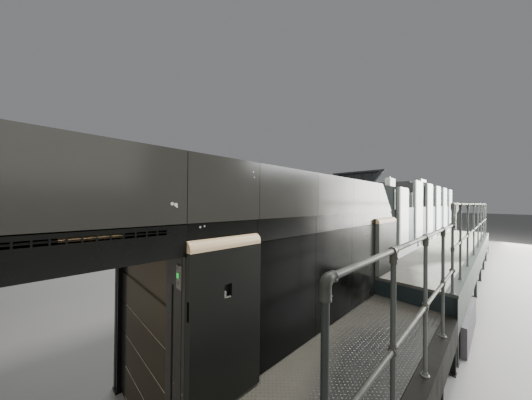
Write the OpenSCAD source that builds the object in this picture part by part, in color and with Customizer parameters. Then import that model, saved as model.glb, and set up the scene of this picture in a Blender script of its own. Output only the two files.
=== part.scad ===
// Sheetfed offset printing press: extended delivery, coating unit, printing units and feeder in one
// line, with a stepped gallery and tube handrails. x runs from the delivery to the feeder, the near
// side is -y, z is up from the floor, and the origin is under the middle of the whole line.

/* [Delivery] */
// Height of the delivery housing
top_h = 2303; // [2100:1:2500]
// Height of the upper panels
upper_panel_h = 440; // [380:1:520]
// Height of the band under the upper panels
mid_band_h = 183; // [170:1:240]
// Width of the housing over its upper panels
body_w = 1600; // [1500:2:1760]
// Length of the opening that takes the sheet pile
pile_l = 1120; // [900:10:1300]
// Length of the columns at the delivery end
column_l = 280; // [180:10:400]
// Length of one panel module of the housing
module_l = 819; // [760:1:880]
// Length of the short first module
short_module_l = 595; // [590:1:700]
// How far the middle and lower panels stand back
panel_recess = 18; // [8:1:30]
// Thickness of a cover panel
panel_t = 22; // [12:1:30]
// Shadow gap between neighbouring panels
panel_gap = 4; // [2:0.5:8]
// How far the slanted end runs out below the roof
slant_run = 580; // [400:2:700]

/* [Doors] */
// Width of the front service door
front_door_w = 568; // [480:1:575]
// Width of the rear service door
rear_door_w = 787; // [600:1:820]
// Depth of the door trays
door_t = 45; // [40:1:60]
// Height of the bullnose cap over a door
cap_h = 70; // [50:1:90]
// Skin thickness of the door trays
skin_t = 4; // [2:0.5:6]
// Width of the square pull pocket
pocket_w = 62; // [50:1:90]
// Radius of the hinge pins
pin_r = 5; // [4:0.5:6]

/* [Printing units] */
// Distance between neighbouring printing units
unit_pitch = 1260; // [1150:2:1400]
// Length of one inking tower
tower_l = 740; // [650:2:900]
// Length of the coating tower
coater_l = 660; // [500:2:760]
// Gap between the slanted end and the coating tower
end_gap = 736; // [680:2:900]
// Gap between the coating tower and the first inking tower
coater_gap = 578; // [420:2:700]
// Height of the inking towers
tower_h = 2560; // [2470:5:2700]
// Height of the coating tower
coater_h = 2330; // [2200:5:2500]
// Width of the towers
tower_w = 1360; // [1200:10:1500]
// Lower edge of the tower covers
tower_foot = 1130; // [1000:5:1200]
// Height of the white guards between the towers
guard_h = 1900; // [1700:5:2000]
// Height of the dark windows over those guards
window_h = 2420; // [2200:5:2440]

/* [Feeder] */
// Length of the feeder
feeder_l = 2300; // [2200:10:2600]
// Height of the feeder frame
feeder_h = 2050; // [1900:10:2300]

/* [Gallery] */
// Height of the lower gallery
low_deck_h = 620; // [500:5:700]
// Rise of the step up to the higher gallery
step_rise = 263; // [200:1:300]
// Width of the gallery beside the housing
gallery_w = 962; // [850:2:1100]
// Width of the plain edge channel
edge_w = 130; // [100:5:160]
// Depth of the channel along the outer edge
edge_d = 300; // [200:5:340]
// Height of the lower edge of the high fascia
fascia_z = 405; // [300:5:500]
// Height of the handrail above its deck
rail_h = 1126; // [1000:1:1200]
// Height of the middle rail above its deck
mid_rail_h = 550; // [450:1:650]
// Outside diameter of the handrail tube
tube_d = 30; // [26:1:48]
// Outside diameter of the cast rail fittings
fitting_d = 41; // [36:1:60]
// Distance of the handrail from the outer edge
rail_inset = 65; // [50:1:85]
// Distance between the first two posts of the low handrail
first_bay = 726; // [600:2:800]
// Distance between the other posts of the low handrail
post_pitch = 790; // [600:2:900]
// Distance between the posts of the high handrail
high_post_pitch = 1290; // [1000:10:1500]
// Thickness of the deck plate and its frame
deck_t = 40; // [30:1:60]

/* [Hidden] */
$fn = 48;
e = 1;

// Stations along the line, counted from the delivery end
ink_units = 5;
pile_x0 = column_l;
pile_x1 = pile_x0 + pile_l;
joint_1 = pile_x1 + short_module_l;
joint_2 = joint_1 + module_l;
joint_3 = joint_2 + module_l;
last_module_extra = 21;
joint_4 = joint_3 + module_l + last_module_extra;
end_panel_l = 191;
top_end = joint_4 + end_panel_l;
joints_x = [pile_x1, joint_1, joint_2, joint_3, joint_4];
housing_end = top_end + slant_run;
coater_x = housing_end + end_gap;
units_x0 = coater_x + coater_l + coater_gap;
units_x1 = units_x0 + (ink_units - 1) * unit_pitch + tower_l;
bed_overhang = 200;
feeder_gap = 420;
feeder_x = units_x1 + feeder_gap;
line_l = feeder_x + feeder_l;

// Levels
line_h = top_h - upper_panel_h;
band_h = line_h - mid_band_h;
beam_h = band_h - 14;
roof_t = 22;
roof_step = 6;
roof_h = top_h - roof_step;
plinth_h = 120;
high_deck_h = low_deck_h + step_rise;

// Planes across the line, as distances from the middle
half = body_w / 2;
recess_y = half - panel_recess;
core_y = recess_y - panel_t;
upper_core_y = half - panel_t;
deck_edge_y = half + gallery_w;
rail_y = deck_edge_y - rail_inset;
tower_y = tower_w / 2;
bed_y = tower_y - 10;

// Doors
door_gap = 21;
rear_door_gap = 14;
step_x = joint_4 - 61;
front_door_x0 = pile_x1;
front_door_z0 = low_deck_h + door_gap;
rear_door_x0 = step_x - 10;
rear_door_z0 = high_deck_h + rear_door_gap;
door_top = band_h + 6;
door_back = half;
door_front = door_back + door_t;
hinge_inset = 12;
hinge_y = door_front - 17;
pin_clear = 0.05;
hinge_h = 60;
hinge_end = 10;
pin_l = 2 * (hinge_h - hinge_end) - 8;
door_swing_gap = 5;
hinge_level = 160;
arm_h = 16;
arm_w = 12;
arm_clear = 6;
knuckle_r = pin_r + 4;

module at(x, y = 0, z = 0) translate([x - line_l / 2, y, z]) children();

module block(x0, x1, y0, y1, z0, z1) at(x0, y0, z0) cube([x1 - x0, y1 - y0, z1 - z0]);

// A block on one side: side is -1 for near, 1 for far; y0 and y1 are distances from the middle
module side_block(side, x0, x1, y0, y1, z0, z1)
  block(x0, x1, side < 0 ? -y1 : y0, side < 0 ? -y0 : y1, z0, z1);

// A block across the line, as far to one side as to the other
module cross_block(x0, x1, y, z0, z1) block(x0, x1, -y, y, z0, z1);

module both_sides() {
  children();
  mirror([0, 1, 0]) children();
}

// An upright profile, drawn with x along the line and y up, as a plate from y0 to y1
module side_plate(y0, y1) at(0, y1) rotate([90, 0, 0]) linear_extrude(y1 - y0) children();

module tube(p, q, d = tube_d) {
  v = q - p;
  l = norm(v);
  translate(p) rotate([0, acos(v[2] / l), atan2(v[1], v[0])]) cylinder(h = l, d = d);
}

// Distance of the slanted end from its lowest point, at a level
function slant_shift(z) = (z - band_h) * slant_run / (top_h - band_h);

module lower_housing() color("#20221f") difference() {
  cross_block(pile_x1 + wall_t, housing_end - cover_t, core_y, 0, band_h);
  door_recess(front_door_x0 + wall_t, front_door_x0 + front_door_w, front_door_z0);
  door_recess(rear_door_x0, rear_door_x0 + rear_door_w, rear_door_z0);
}

recess_depth = 220;
recess_margin = 40;
module door_recess(x0, x1, z0)
  block(x0 + recess_margin, x1 - recess_margin, -core_y - e, -core_y + recess_depth,
    z0 + recess_margin, band_h - recess_margin);

module end_profile(x0, x1, z0, z1)
  polygon([[x0, z0], [x1 - slant_shift(z0), z0], [x1 - slant_shift(z1), z1], [x0, z1]]);

cover_seat = 0.1;
module upper_housing() color("#26282a") union() {
  side_plate(-core_y, core_y) end_profile(pile_x1, housing_end - cover_t, band_h, line_h);
  side_plate(-upper_core_y, upper_core_y)
    end_profile(pile_x1, housing_end - cover_t - cover_seat, line_h, roof_h - roof_t);
}

// Roof sheet with raised seams over the panel joints
seam_w = 30;
module roof_panel() color("#55554f") {
  block(panel_t, top_end - cover_t, -upper_core_y + 2, upper_core_y - 2, roof_h - roof_t, roof_h);
  for (x = [joint_1, joint_2, joint_3, joint_4])
    cross_block(x - seam_w / 2, x + seam_w / 2, upper_core_y - 2, roof_h, top_h);
}

collar_xs = [pile_x1 + 30, pile_x1 + 415];
collar_y = 170;
collar_r = 80;
collar_wall = 3;
flange_w = 40;
collar_h = 90;
module exhaust_collars() color("#b8bab8") for (x = collar_xs) at(x, collar_y, top_h) difference() {
  union() {
    translate([0, 0, -roof_step]) cylinder(h = 2 * roof_step, r = collar_r + flange_w);
    cylinder(h = collar_h, r = collar_r);
  }
  translate([0, 0, -roof_step - e]) cylinder(h = collar_h + roof_step + 2 * e, r = collar_r - collar_wall);
}

slot_l = 47;
slot_pitch = 54.3;
slot_h = 12;
slot_row = 16;
slot_margin = 120;
slot_top = 28;
slot_depth = 40;
module vent_slots(side) for (x = [pile_x1 - slot_margin:-slot_pitch:slot_margin + slot_l], row = [0, 1])
  side_block(side, x - slot_l, x, half - slot_depth, half + e,
    line_h - slot_top - slot_h - row * slot_row, line_h - slot_top - row * slot_row);

// A hollow box beam over the side of the pile, with two rows of air slots
beam_w = 260;
beam_wall = 12;
beam_end = 30;
beam_roof_gap = 6;
module beam(side) color("#232522") difference() {
  side_block(side, 0, pile_x1 - panel_gap / 2, half - beam_w, half, beam_h, line_h - beam_roof_gap);
  side_block(side, beam_end, pile_x1 - slot_depth, half - beam_w + beam_wall, half - beam_wall,
    beam_h + beam_wall, line_h - beam_roof_gap - beam_wall);
  vent_slots(side);
}

bar_r = 11;
bar_y = half - 45;
module air_bars() color("#a0763a") both_sides() at(beam_end, -bar_y, line_h - slot_top - slot_row)
  rotate([0, 90, 0]) cylinder(h = pile_x1 - slot_depth - beam_end, r = bar_r);

module end_columns() color("#3a3c38") both_sides()
  block(0, column_l, -half + 8, -half + beam_w, 0, beam_h);

// Closed head over the pile, with a panel and a beam across the delivery end
ceiling_h = beam_h + 60;
end_beam_t = 40;
module delivery_head() color("#3c3d39") {
  cross_block(panel_t, pile_x1, upper_core_y, line_h, roof_h - roof_t);
  cross_block(end_beam_t, pile_x1, half - beam_w, ceiling_h, line_h);
  cross_block(0, panel_t, half, line_h + panel_gap, top_h);
  cross_block(0, end_beam_t, half - beam_w, beam_h, line_h);
}

// Shutter of wide slats under a plain panel, behind the pile
wall_t = 60;
slat_h = 296;
slat_gap = 4;
slat_z0 = 73;
slat_t = 16;
slat_n = 4;
slat_lip = 8;
wall_y0 = -half + 300;
wall_y1 = core_y - 110;
shutter_h = slat_z0 + slat_n * (slat_h + slat_gap);
module pile_rear_wall() color("#2b2b26") {
  block(pile_x1 + slat_t, pile_x1 + wall_t, wall_y0, wall_y1, 0, beam_h);
  block(pile_x1 + slat_lip, pile_x1 + slat_t, wall_y0, wall_y1, shutter_h, beam_h);
  for (i = [0:slat_n - 1]) at(pile_x1, wall_y1, slat_z0 + i * (slat_h + slat_gap)) rotate([90, 0, 0])
    linear_extrude(wall_y1 - wall_y0)
      polygon([[slat_t, 0], [0, 0], [0, slat_h - slat_lip], [slat_lip, slat_h], [slat_t, slat_h]]);
}

far_jamb_l = 33;
foot_t = 20;
jamb_slot_y = -half + 180;
jamb_slot_w = 31;
jamb_slot_d = 24;
jamb_edge_w = 58;
jamb_slot_h = 1450;
jamb_edge_y = -half + jamb_edge_w;
far_jamb_x = pile_x1 - far_jamb_l;
far_slot_y = wall_y1 + 30;
module pile_jambs() color("#3a3532") {
  difference() {
    block(pile_x1, pile_x1 + wall_t, -recess_y, wall_y0, 0, beam_h);
    block(pile_x1 - e, pile_x1 + jamb_slot_d, jamb_slot_y, jamb_slot_y + jamb_slot_w, -e, jamb_slot_h);
    block(pile_x1 - e, pile_x1 + jamb_slot_d, jamb_edge_y, jamb_edge_y + 2 * panel_gap, -e, beam_h + e);
  }
  difference() {
    block(far_jamb_x, pile_x1 + wall_t, wall_y1, recess_y, 0, beam_h);
    block(far_jamb_x - e, far_jamb_x + 10, far_slot_y, far_slot_y + jamb_slot_w, foot_t, beam_h + e);
  }
  block(far_jamb_x - foot_t / 2, far_jamb_x, wall_y1, recess_y, 0, foot_t);
}

strip_t = 6;
strip_w = 62;
strip_l = 150;
strip_y = jamb_edge_y + 2 * panel_gap;
strip_top = beam_h - 70;
lamp_r = 12;
lamp_z = strip_top - 64;
key_r = 8;
key_pitch = 46;
module control_strip() color("#8b8683") {
  block(pile_x1 - strip_t, pile_x1, strip_y, strip_y + strip_w, strip_top - strip_l, strip_top);
  for (z = [-1, 1]) at(pile_x1 - strip_t, strip_y + strip_w / 2, lamp_z + z * key_pitch)
    rotate([0, -90, 0]) cylinder(h = 2, r = key_r);
}

module control_lamp() color("#20d060")
  at(pile_x1 - strip_t, strip_y + strip_w / 2, lamp_z) rotate([0, -90, 0]) cylinder(h = 4, r = lamp_r);

upper_ends = [panel_t, pile_x1, joint_1, joint_2, joint_3, joint_4];
module upper_panels(side) color("#5f5d56") {
  for (i = [0:len(upper_ends) - 2])
    side_block(side, upper_ends[i] + panel_gap / 2, upper_ends[i + 1] - panel_gap / 2,
      upper_core_y, half, line_h, top_h);
  y0 = side < 0 ? -half : upper_core_y;
  side_plate(y0, y0 + panel_t) end_profile(joint_4 + panel_gap / 2, housing_end, line_h, top_h);
}

module mid_panels(side) color("#2a2c2a") {
  for (i = [0:len(joints_x) - 2])
    side_block(side, joints_x[i] + panel_gap / 2, joints_x[i + 1] - panel_gap / 2,
      core_y, recess_y, band_h + panel_gap / 2, line_h - panel_gap / 2);
  y0 = side < 0 ? -recess_y : core_y;
  side_plate(y0, y0 + panel_t)
    end_profile(joint_4 + panel_gap / 2, housing_end, band_h + panel_gap / 2, line_h - panel_gap / 2);
}

// The near side has no lower panel behind either door, the far side has one in every module
door_overlap = joint_4 - rear_door_x0;
module lower_panels(side) color("#232523") {
  z0 = side < 0 ? low_deck_h + roof_step : plinth_h;
  z1 = band_h - panel_gap / 2;
  for (i = [1, 2, 3]) {
    x1 = joints_x[i + 1] - (i == 3 ? door_overlap : 0);
    side_block(side, joints_x[i] + panel_gap / 2, x1 - panel_gap / 2, core_y, recess_y, z0, z1);
  }
  if (side > 0) {
    side_block(side, pile_x1 + wall_t + panel_gap / 2, joint_1 - panel_gap / 2, core_y, recess_y, z0, z1);
    side_block(side, joint_4 + panel_gap / 2 - door_overlap, housing_end - cover_t, core_y, recess_y, z0, z1);
  }
}

// A slanted plate between two levels, as wide as the panels leave
cover_t = 40;
module slant_plate(y, z0, z1) side_plate(-y, y)
  polygon([[housing_end - cover_t - slant_shift(z0), z0], [housing_end - slant_shift(z0), z0],
    [housing_end - slant_shift(z1), z1], [housing_end - cover_t - slant_shift(z1), z1]]);

module slanted_end_cover() color("#3a3c3a") {
  slant_plate(core_y, band_h, line_h);
  slant_plate(upper_core_y, line_h, top_h);
}

function hinge_levels(z0) = [z0 + hinge_level, door_top - hinge_level];

// A folded tray, open at the back, with hinge blocks at its feeder end
module door(x0, w, z0) {
  hinge_x = x0 + w - hinge_inset;
  difference() {
    union() {
      difference() {
        block(x0, x0 + w, -door_front, -door_back, z0, door_top);
        block(x0 + skin_t, x0 + w - skin_t, -door_front + skin_t, -door_back + e,
          z0 + skin_t, door_top - skin_t);
      }
      for (z = hinge_levels(z0))
        block(x0 + w - 2 * hinge_inset - 8, x0 + w, -door_front, -door_back, z - hinge_h, z + hinge_h);
    }
    for (z = hinge_levels(z0)) {
      at(hinge_x, -hinge_y, z - hinge_h + hinge_end)
        cylinder(h = 2 * (hinge_h - hinge_end), r = pin_r + pin_clear);
      block(hinge_x - knuckle_r - 8, x0 + w + e, -hinge_y - knuckle_r - 1, -door_back + e,
        z - arm_h / 2 - arm_clear, z + arm_h / 2 + arm_clear);
    }
  }
}

pocket_x = front_door_x0 + 242;
pocket_z = door_top - 331;
pocket_h = 1.5 * pocket_w;
pocket_d = 32;
module pull_pocket(grow, y1) block(pocket_x - grow, pocket_x + pocket_w + grow, -door_front - e, y1,
  pocket_z - grow, pocket_z + pocket_h + grow);

// A second grip is let into the free edge of the door
grip_h = 120;
grip_w = 30;
grip_d = 18;
grip_z = pocket_z - 75;
grip_y = -door_front + (door_t - grip_w) / 2;
module edge_grip(grow, x1) block(front_door_x0 - e, x1, grip_y - grow, grip_y + grip_w + grow,
  grip_z - grow, grip_z + grip_h + grow);

// Its free edge is folded on towards the jamb, and stops short of it and of the beam
return_w = panel_recess - door_swing_gap;
module free_edge_return() block(front_door_x0, front_door_x0 + skin_t, -door_back - e, -door_back + return_w,
  front_door_z0, beam_h - 2 * door_swing_gap);

module front_door() color("#33352f") difference() {
  union() {
    door(front_door_x0, front_door_w, front_door_z0);
    free_edge_return();
    intersection() {
      union() {
        pull_pocket(skin_t, -door_front + pocket_d + skin_t);
        edge_grip(skin_t, front_door_x0 + grip_d + skin_t);
      }
      block(front_door_x0, front_door_x0 + front_door_w, -door_front, -door_back, 0, door_top);
    }
  }
  pull_pocket(0, -door_front + pocket_d);
  edge_grip(0, front_door_x0 + grip_d);
}

module rear_door() color("#3a3c38") door(rear_door_x0, rear_door_w, rear_door_z0);

// Nosing bent from sheet over a door, open at both ends, with a short upright lip at its foot
cap_d = door_t + 10;
cap_lip = 15;
cap_r = cap_h - cap_lip;
module cap_profile(inset) intersection() {
  translate([inset, inset]) square([cap_d - 2 * inset, cap_h - 2 * inset]);
  union() {
    square([cap_d, cap_lip]);
    translate([cap_r, cap_lip]) circle(cap_r - inset);
    translate([cap_r, 0]) square([cap_d, cap_h]);
  }
}

module door_cap(x0, w) color("#d8cbb8") at(x0, -door_front, door_top) rotate([90, 0, 90])
  linear_extrude(w) difference() {
    cap_profile(0);
    cap_profile(skin_t);
  }

module front_door_cap() door_cap(front_door_x0, front_door_w);

module rear_door_cap() door_cap(rear_door_x0, rear_door_w);

module hinges(x0, w, z0) color("#6a6c6a") {
  x = x0 + w - hinge_inset;
  for (z = hinge_levels(z0)) {
    block(x - arm_w / 2, x + arm_w / 2, -hinge_y, -core_y, z - arm_h / 2, z + arm_h / 2);
    at(x, -hinge_y, z - arm_h / 2) cylinder(h = arm_h, r = knuckle_r);
    at(x, -hinge_y, z - pin_l / 2) cylinder(h = pin_l, r = pin_r);
  }
}

module front_door_hinges() hinges(front_door_x0, front_door_w, front_door_z0);

module rear_door_hinges() hinges(rear_door_x0, rear_door_w, rear_door_z0);

bed_x0 = housing_end - cover_t;
bed_x1 = units_x1 + bed_overhang;
skirt_x0 = coater_x - 120;
skirt_x1 = bed_x1 - 40;

// The dark guard between the slanted end and the coating tower, with a raised hood across it
guard_clear = 10;
tower_cover_t = 65;
core_inset = 40;
core_drop = 60;
guard_y = tower_y - tower_cover_t - 5;
module coater_guard() color("#2c3032") {
  cross_block(housing_end + guard_clear, skirt_x0, guard_y, high_deck_h, tower_foot);
  cross_block(housing_end + guard_clear, coater_x + core_inset, guard_y, tower_foot, coater_h);
}

hood_x = housing_end + 256;
hood_t = 60;
hood_frame = 34;
hood_side = 118;
hood_h = 320;
hood_top_y = 560;
hood_foot_y = 258;
hood_ribs = 6;
hood_rib_w = 12;
hood_web_t = 8;
module hood_outline(inset, side_inset)
  polygon([[-hood_foot_y + side_inset, inset], [hood_foot_y - side_inset, inset],
    [hood_top_y - side_inset, hood_h - inset], [-hood_top_y + side_inset, hood_h - inset]]);

module guard_hood() color("#34373a") at(hood_x, 0, coater_h) rotate([90, 0, 90]) difference() {
  linear_extrude(hood_t) hood_outline(0, 0);
  for (z = [-e, (hood_t + hood_web_t) / 2]) translate([0, 0, z])
    linear_extrude((hood_t - hood_web_t) / 2 + e) difference() {
      hood_outline(hood_frame, hood_side);
      for (i = [1:hood_ribs]) translate([(i - (hood_ribs + 1) / 2) * 2 * hood_top_y / hood_ribs, hood_h / 2])
        square([hood_rib_w, hood_h], center = true);
    }
}

// Shallow terminal cabinets, each with a raised lid, on top of the guard and the coating tower
cabinet_x = coater_x - 110;
cabinet_l = 330;
cabinet_d = 100;
cabinet_h = 178;
cabinet_y = 530;
cabinet_lid = 12;
module cabinet_box(inset, z0, h)
  for (side = [-1, 1]) side_block(side, cabinet_x + inset, cabinet_x + cabinet_l - inset,
    cabinet_y - cabinet_d + inset, cabinet_y - inset, z0, z0 + h);

module roof_cabinets() color("#e4e7e0") {
  cabinet_box(0, coater_h, cabinet_h);
  cabinet_box(cabinet_lid, coater_h + cabinet_h, cabinet_lid);
}

// Side covers of a tower: upright edges are rounded, and the top corner on the feeder side is a wide curve
edge_r = 28;
crown_r = 90;
lid_drop = 14;
lid_inset = 90;
module cover_plan(l) {
  translate([edge_r, 0]) square([l - 2 * edge_r, tower_cover_t]);
  translate([0, edge_r]) square([l, tower_cover_t - edge_r]);
  for (x = [edge_r, l - edge_r]) translate([x, edge_r]) circle(edge_r);
}

module cover_profile(l, h) {
  square([l - crown_r, h]);
  square([l, h - crown_r]);
  translate([l - crown_r, h - crown_r]) circle(crown_r);
}

module tower(x, l, h) {
  rise = h - tower_foot;
  both_sides() at(x, -tower_y, tower_foot) intersection() {
    linear_extrude(rise) cover_plan(l);
    translate([0, tower_cover_t, 0]) rotate([90, 0, 0]) linear_extrude(tower_cover_t) cover_profile(l, rise);
  }
  cross_block(x + core_inset, x + l - core_inset, tower_y - tower_cover_t, tower_foot, h - core_drop);
  cross_block(x + lid_inset, x + l - lid_inset - crown_r / 2, tower_y - tower_cover_t - lid_inset,
    h - core_drop, h - lid_drop);
}

module coater_tower() color("#dfe3de") tower(coater_x, coater_l, coater_h);

// A small fan housing stands on the first inking tower and out beside it
fan_seat = 130;
fan_reach = 340;
fan_w = 150;
fan_h = 66;
module fan_housing(x1)
  block(x1 - crown_r - fan_seat, x1 + fan_reach, -tower_y, -tower_y + fan_w, tower_h, tower_h + fan_h);

function tower_x(i) = units_x0 + (i - 1) * unit_pitch;
module ink_tower(i) color("#e6e9e4") {
  tower(tower_x(i), tower_l, tower_h);
  if (i == 1) fan_housing(tower_x(i) + tower_l);
}

module unit_beds() color("#30332f") cross_block(bed_x0, bed_x1, bed_y, 0, high_deck_h);

module unit_skirts() color("#cfd3cc") cross_block(skirt_x0, skirt_x1, bed_y, high_deck_h, tower_foot);

// Guards and windows that close the gaps between the towers
white_inset = 30;
window_inset = 78;
unit_gaps = [[coater_x + coater_l, units_x0, coater_h - core_drop],
  for (i = [1:ink_units - 1]) [tower_x(i) + tower_l, tower_x(i + 1), window_h]];
module unit_guards() color("#dde2dd") for (g = unit_gaps)
  cross_block(g[0], g[1], tower_y - white_inset, tower_foot, guard_h);

module guard_windows() color("#22272a") for (g = unit_gaps)
  cross_block(g[0] - core_inset, g[1] + core_inset, tower_y - window_inset, guard_h, g[2]);

// Feeder: two side frames joined by bars, which carry the suction head and hang the pile board on chains
frame_y = 620;
frame_t = 70;
frame_x0 = feeder_x + 500;
frame_r = 160;
bar_d = 60;
pile_board_z = 150;
lift_bar_h = 60;
lift_bar_w = 80;
chain_r = 9;
chain_y = frame_y - 36;
chain_top = feeder_h - 310;
lift_xs = [feeder_x + 900, feeder_x + 1600];
pillar_w = 260;
frame_foot_h = 90;
back_post_w = 150;
top_rail_h = 260;
brace_h = 420;
brace_l = 430;
waist_z = 1150;
nose_z = 1400;
nose_l = 330;
eye_z = 650;
eye_r = 60;
tie_inset = 150;
low_tie_z = 300;
high_tie_z = 1000;
tie_bars = [[frame_x0 + tie_inset, low_tie_z], [frame_x0 + tie_inset, high_tie_z],
  [frame_x0 + brace_l - 10, feeder_h - top_rail_h / 2], [line_l - frame_r, feeder_h - frame_r]];
module frame_profile() difference() {
  union() {
    polygon([[frame_x0, 0], [line_l, 0], [line_l, frame_foot_h], [frame_x0 + pillar_w, frame_foot_h],
      [frame_x0 + pillar_w, waist_z], [frame_x0 + brace_l, feeder_h - brace_h],
      [line_l - back_post_w, feeder_h - top_rail_h], [line_l, feeder_h - top_rail_h],
      [line_l, feeder_h - frame_r], [line_l - frame_r, feeder_h], [frame_x0 + nose_l, feeder_h],
      [frame_x0, nose_z]]);
    translate([line_l - back_post_w, 0]) square([back_post_w, feeder_h - top_rail_h + 10]);
    translate([line_l - frame_r, feeder_h - frame_r]) circle(frame_r);
  }
  translate([frame_x0 + pillar_w / 2, eye_z]) circle(eye_r);
}

module feeder_frame() color("#3c3f3c") {
  both_sides() side_plate(-frame_y - frame_t, -frame_y) frame_profile();
  for (p = tie_bars) at(p[0], -frame_y - e, p[1]) rotate([-90, 0, 0])
    cylinder(h = 2 * (frame_y + e), d = bar_d);
  for (x = lift_xs) {
    cross_block(x, x + lift_bar_w, frame_y - 20, pile_board_z - lift_bar_h, pile_board_z);
    both_sides() {
      at(x + lift_bar_w / 2, -chain_y, pile_board_z - e)
        cylinder(h = chain_top - pile_board_z + 2 * e, r = chain_r);
      block(x, x + lift_bar_w, -frame_y - e, -chain_y + 20, chain_top, chain_top + 40);
    }
  }
}

head_x0 = feeder_x + 700;
head_x1 = feeder_x + 1500;
head_drop = 260;
head_r = 90;
sucker_r = 16;
sucker_drop = 90;
sucker_inset = 120;
sucker_pitch = 220;
module feeder_head() color("#d5d8d3") {
  side_plate(-frame_y, frame_y) difference() {
    union() {
      translate([head_x0, feeder_h - head_drop]) square([head_x1 - head_x0, head_drop - head_r]);
      translate([head_x0, feeder_h - head_drop]) square([head_x1 - head_x0 - head_r, head_drop]);
      translate([head_x1 - head_r, feeder_h - head_r]) circle(head_r);
    }
    for (p = tie_bars) translate(p) circle(d = bar_d + 2);
  }
  for (x = [head_x0 + sucker_inset, head_x1 - sucker_inset], i = [-1.5:1.5])
    at(x, i * sucker_pitch, feeder_h - head_drop - sucker_drop) cylinder(h = sucker_drop + 2, r = sucker_r);
}

// Inclined board with raised feed tapes, from the suction head down into the first unit
board_t = 80;
board_z0 = 900;
board_z1 = 1500;
tape_w = 60;
tape_t = 4;
tape_ys = [-450:150:450];
module board_profile(t0, t1) polygon([[bed_x1 - 40, board_z0 + t0], [head_x0, board_z1 + t0],
  [head_x0, board_z1 + t1], [bed_x1 - 40, board_z0 + t1]]);

module feed_board() color("#9a9c98") {
  side_plate(-frame_y, frame_y) board_profile(0, board_t);
  for (y = tape_ys) side_plate(y - tape_w / 2, y + tape_w / 2) board_profile(board_t, board_t + tape_t);
}

// Pallet of three bearers along the line with slats across them
board_slat_t = 20;
bearer_h = 3 * board_slat_t;
bearer_w = 120;
board_x = feeder_x + 820;
board_l = 960;
board_y = 530;
slat_w = 100;
board_slats = 8;
slat_pitch = (board_l - slat_w) / (board_slats - 1);
module feeder_pile_board() color("#7a6a50") {
  for (y = [-board_y + 10, -bearer_w / 2, board_y - 10 - bearer_w])
    block(board_x, board_x + board_l, y, y + bearer_w, pile_board_z, pile_board_z + bearer_h);
  for (i = [0:board_slats - 1])
    cross_block(board_x + i * slat_pitch, board_x + i * slat_pitch + slat_w, board_y,
      pile_board_z + bearer_h, pile_board_z + bearer_h + board_slat_t);
}

low_x0 = pile_x1;
high_x1 = bed_x1;
step_post = step_x + 28;
first_post = low_x0 + 72;
deck_clear = 2;
deck_y0 = half + deck_clear;
channel_y = deck_edge_y - edge_w;
lip_w = 4;
lip_drop = 8;
skin = 8;
leg_w = 50;
joint_w = 3;
corner_gap = 64;
fascia_l = 60;

module deck(side, x0, x1, h, y0) side_block(side, x0, x1, y0, channel_y - lip_w, h - deck_t, h);

module low_deck_near() color("#77736b") {
  deck(-1, low_x0, step_x, low_deck_h, deck_y0);
  deck(-1, low_x0 + wall_t, step_x, low_deck_h, core_y);
}

module high_deck(side) {
  deck(side, step_x, bed_x0, high_deck_h, side < 0 ? core_y : recess_y);
  deck(side, bed_x0, high_x1, high_deck_h, bed_y);
}

module high_deck_near() color("#8a867c") high_deck(-1);

module high_deck_far() color("#8a867c") high_deck(1);

// Edge channel with joints in its top, a lip along the deck plate, an outer skirt and legs
module edge_channel(side, x0, x1, h, z0, joints, legs) {
  side_block(side, x0, x1, channel_y - lip_w, channel_y, h - deck_t, h - lip_drop);
  difference() {
    side_block(side, x0, x1, channel_y, deck_edge_y, h - deck_t, h);
    for (x = joints) side_block(side, x, x + joint_w, channel_y - e, deck_edge_y + e, h - 5, h + e);
  }
  side_block(side, x0, x1, deck_edge_y - skin, deck_edge_y, z0, h - deck_t);
  for (x = legs) {
    side_block(side, x, x + leg_w, deck_edge_y - skin - leg_w, deck_edge_y - skin, 0, h - deck_t);
    side_block(side, x, x + leg_w, deck_y0, deck_y0 + leg_w, 0, h - deck_t);
  }
}

low_legs = [low_x0 + 20, low_x0 + 1000, low_x0 + 2000, step_x - 180];
low_joints = [first_post + first_bay - 40, first_post + first_bay + 2 * post_pitch - 28];
module low_fascia_near() color("#6f6a60") {
  edge_channel(-1, low_x0, step_x - corner_gap, low_deck_h, low_deck_h - edge_d, low_joints, low_legs);
  side_block(-1, step_x - corner_gap, step_x, channel_y - lip_w, deck_edge_y - 2 * skin,
    low_deck_h - deck_t, low_deck_h);
}

leg_pitch = 1500;
high_legs = [for (x = [step_x + 60:leg_pitch:high_x1 - leg_w]) x];
high_joints = [for (i = [1:5]) step_x + i * (high_x1 - step_x) / 6];
module high_fascia(side) {
  edge_channel(side, step_x, high_x1, high_deck_h, fascia_z, high_joints, high_legs);
  side_block(side, step_x - fascia_l, step_x, deck_edge_y - skin, deck_edge_y,
    fascia_z, high_deck_h - deck_t);
}

module high_fascia_near() color("#a9b0a6") high_fascia(-1);

module high_fascia_far() color("#a9b0a6") high_fascia(1);

module riser(side, z0)
  side_block(side, step_x, step_x + lip_w, recess_y, deck_edge_y - skin, z0, high_deck_h - deck_t);

module step_risers() color("#20282c") {
  riser(-1, low_deck_h);
  riser(1, high_deck_h - edge_d);
}

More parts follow.
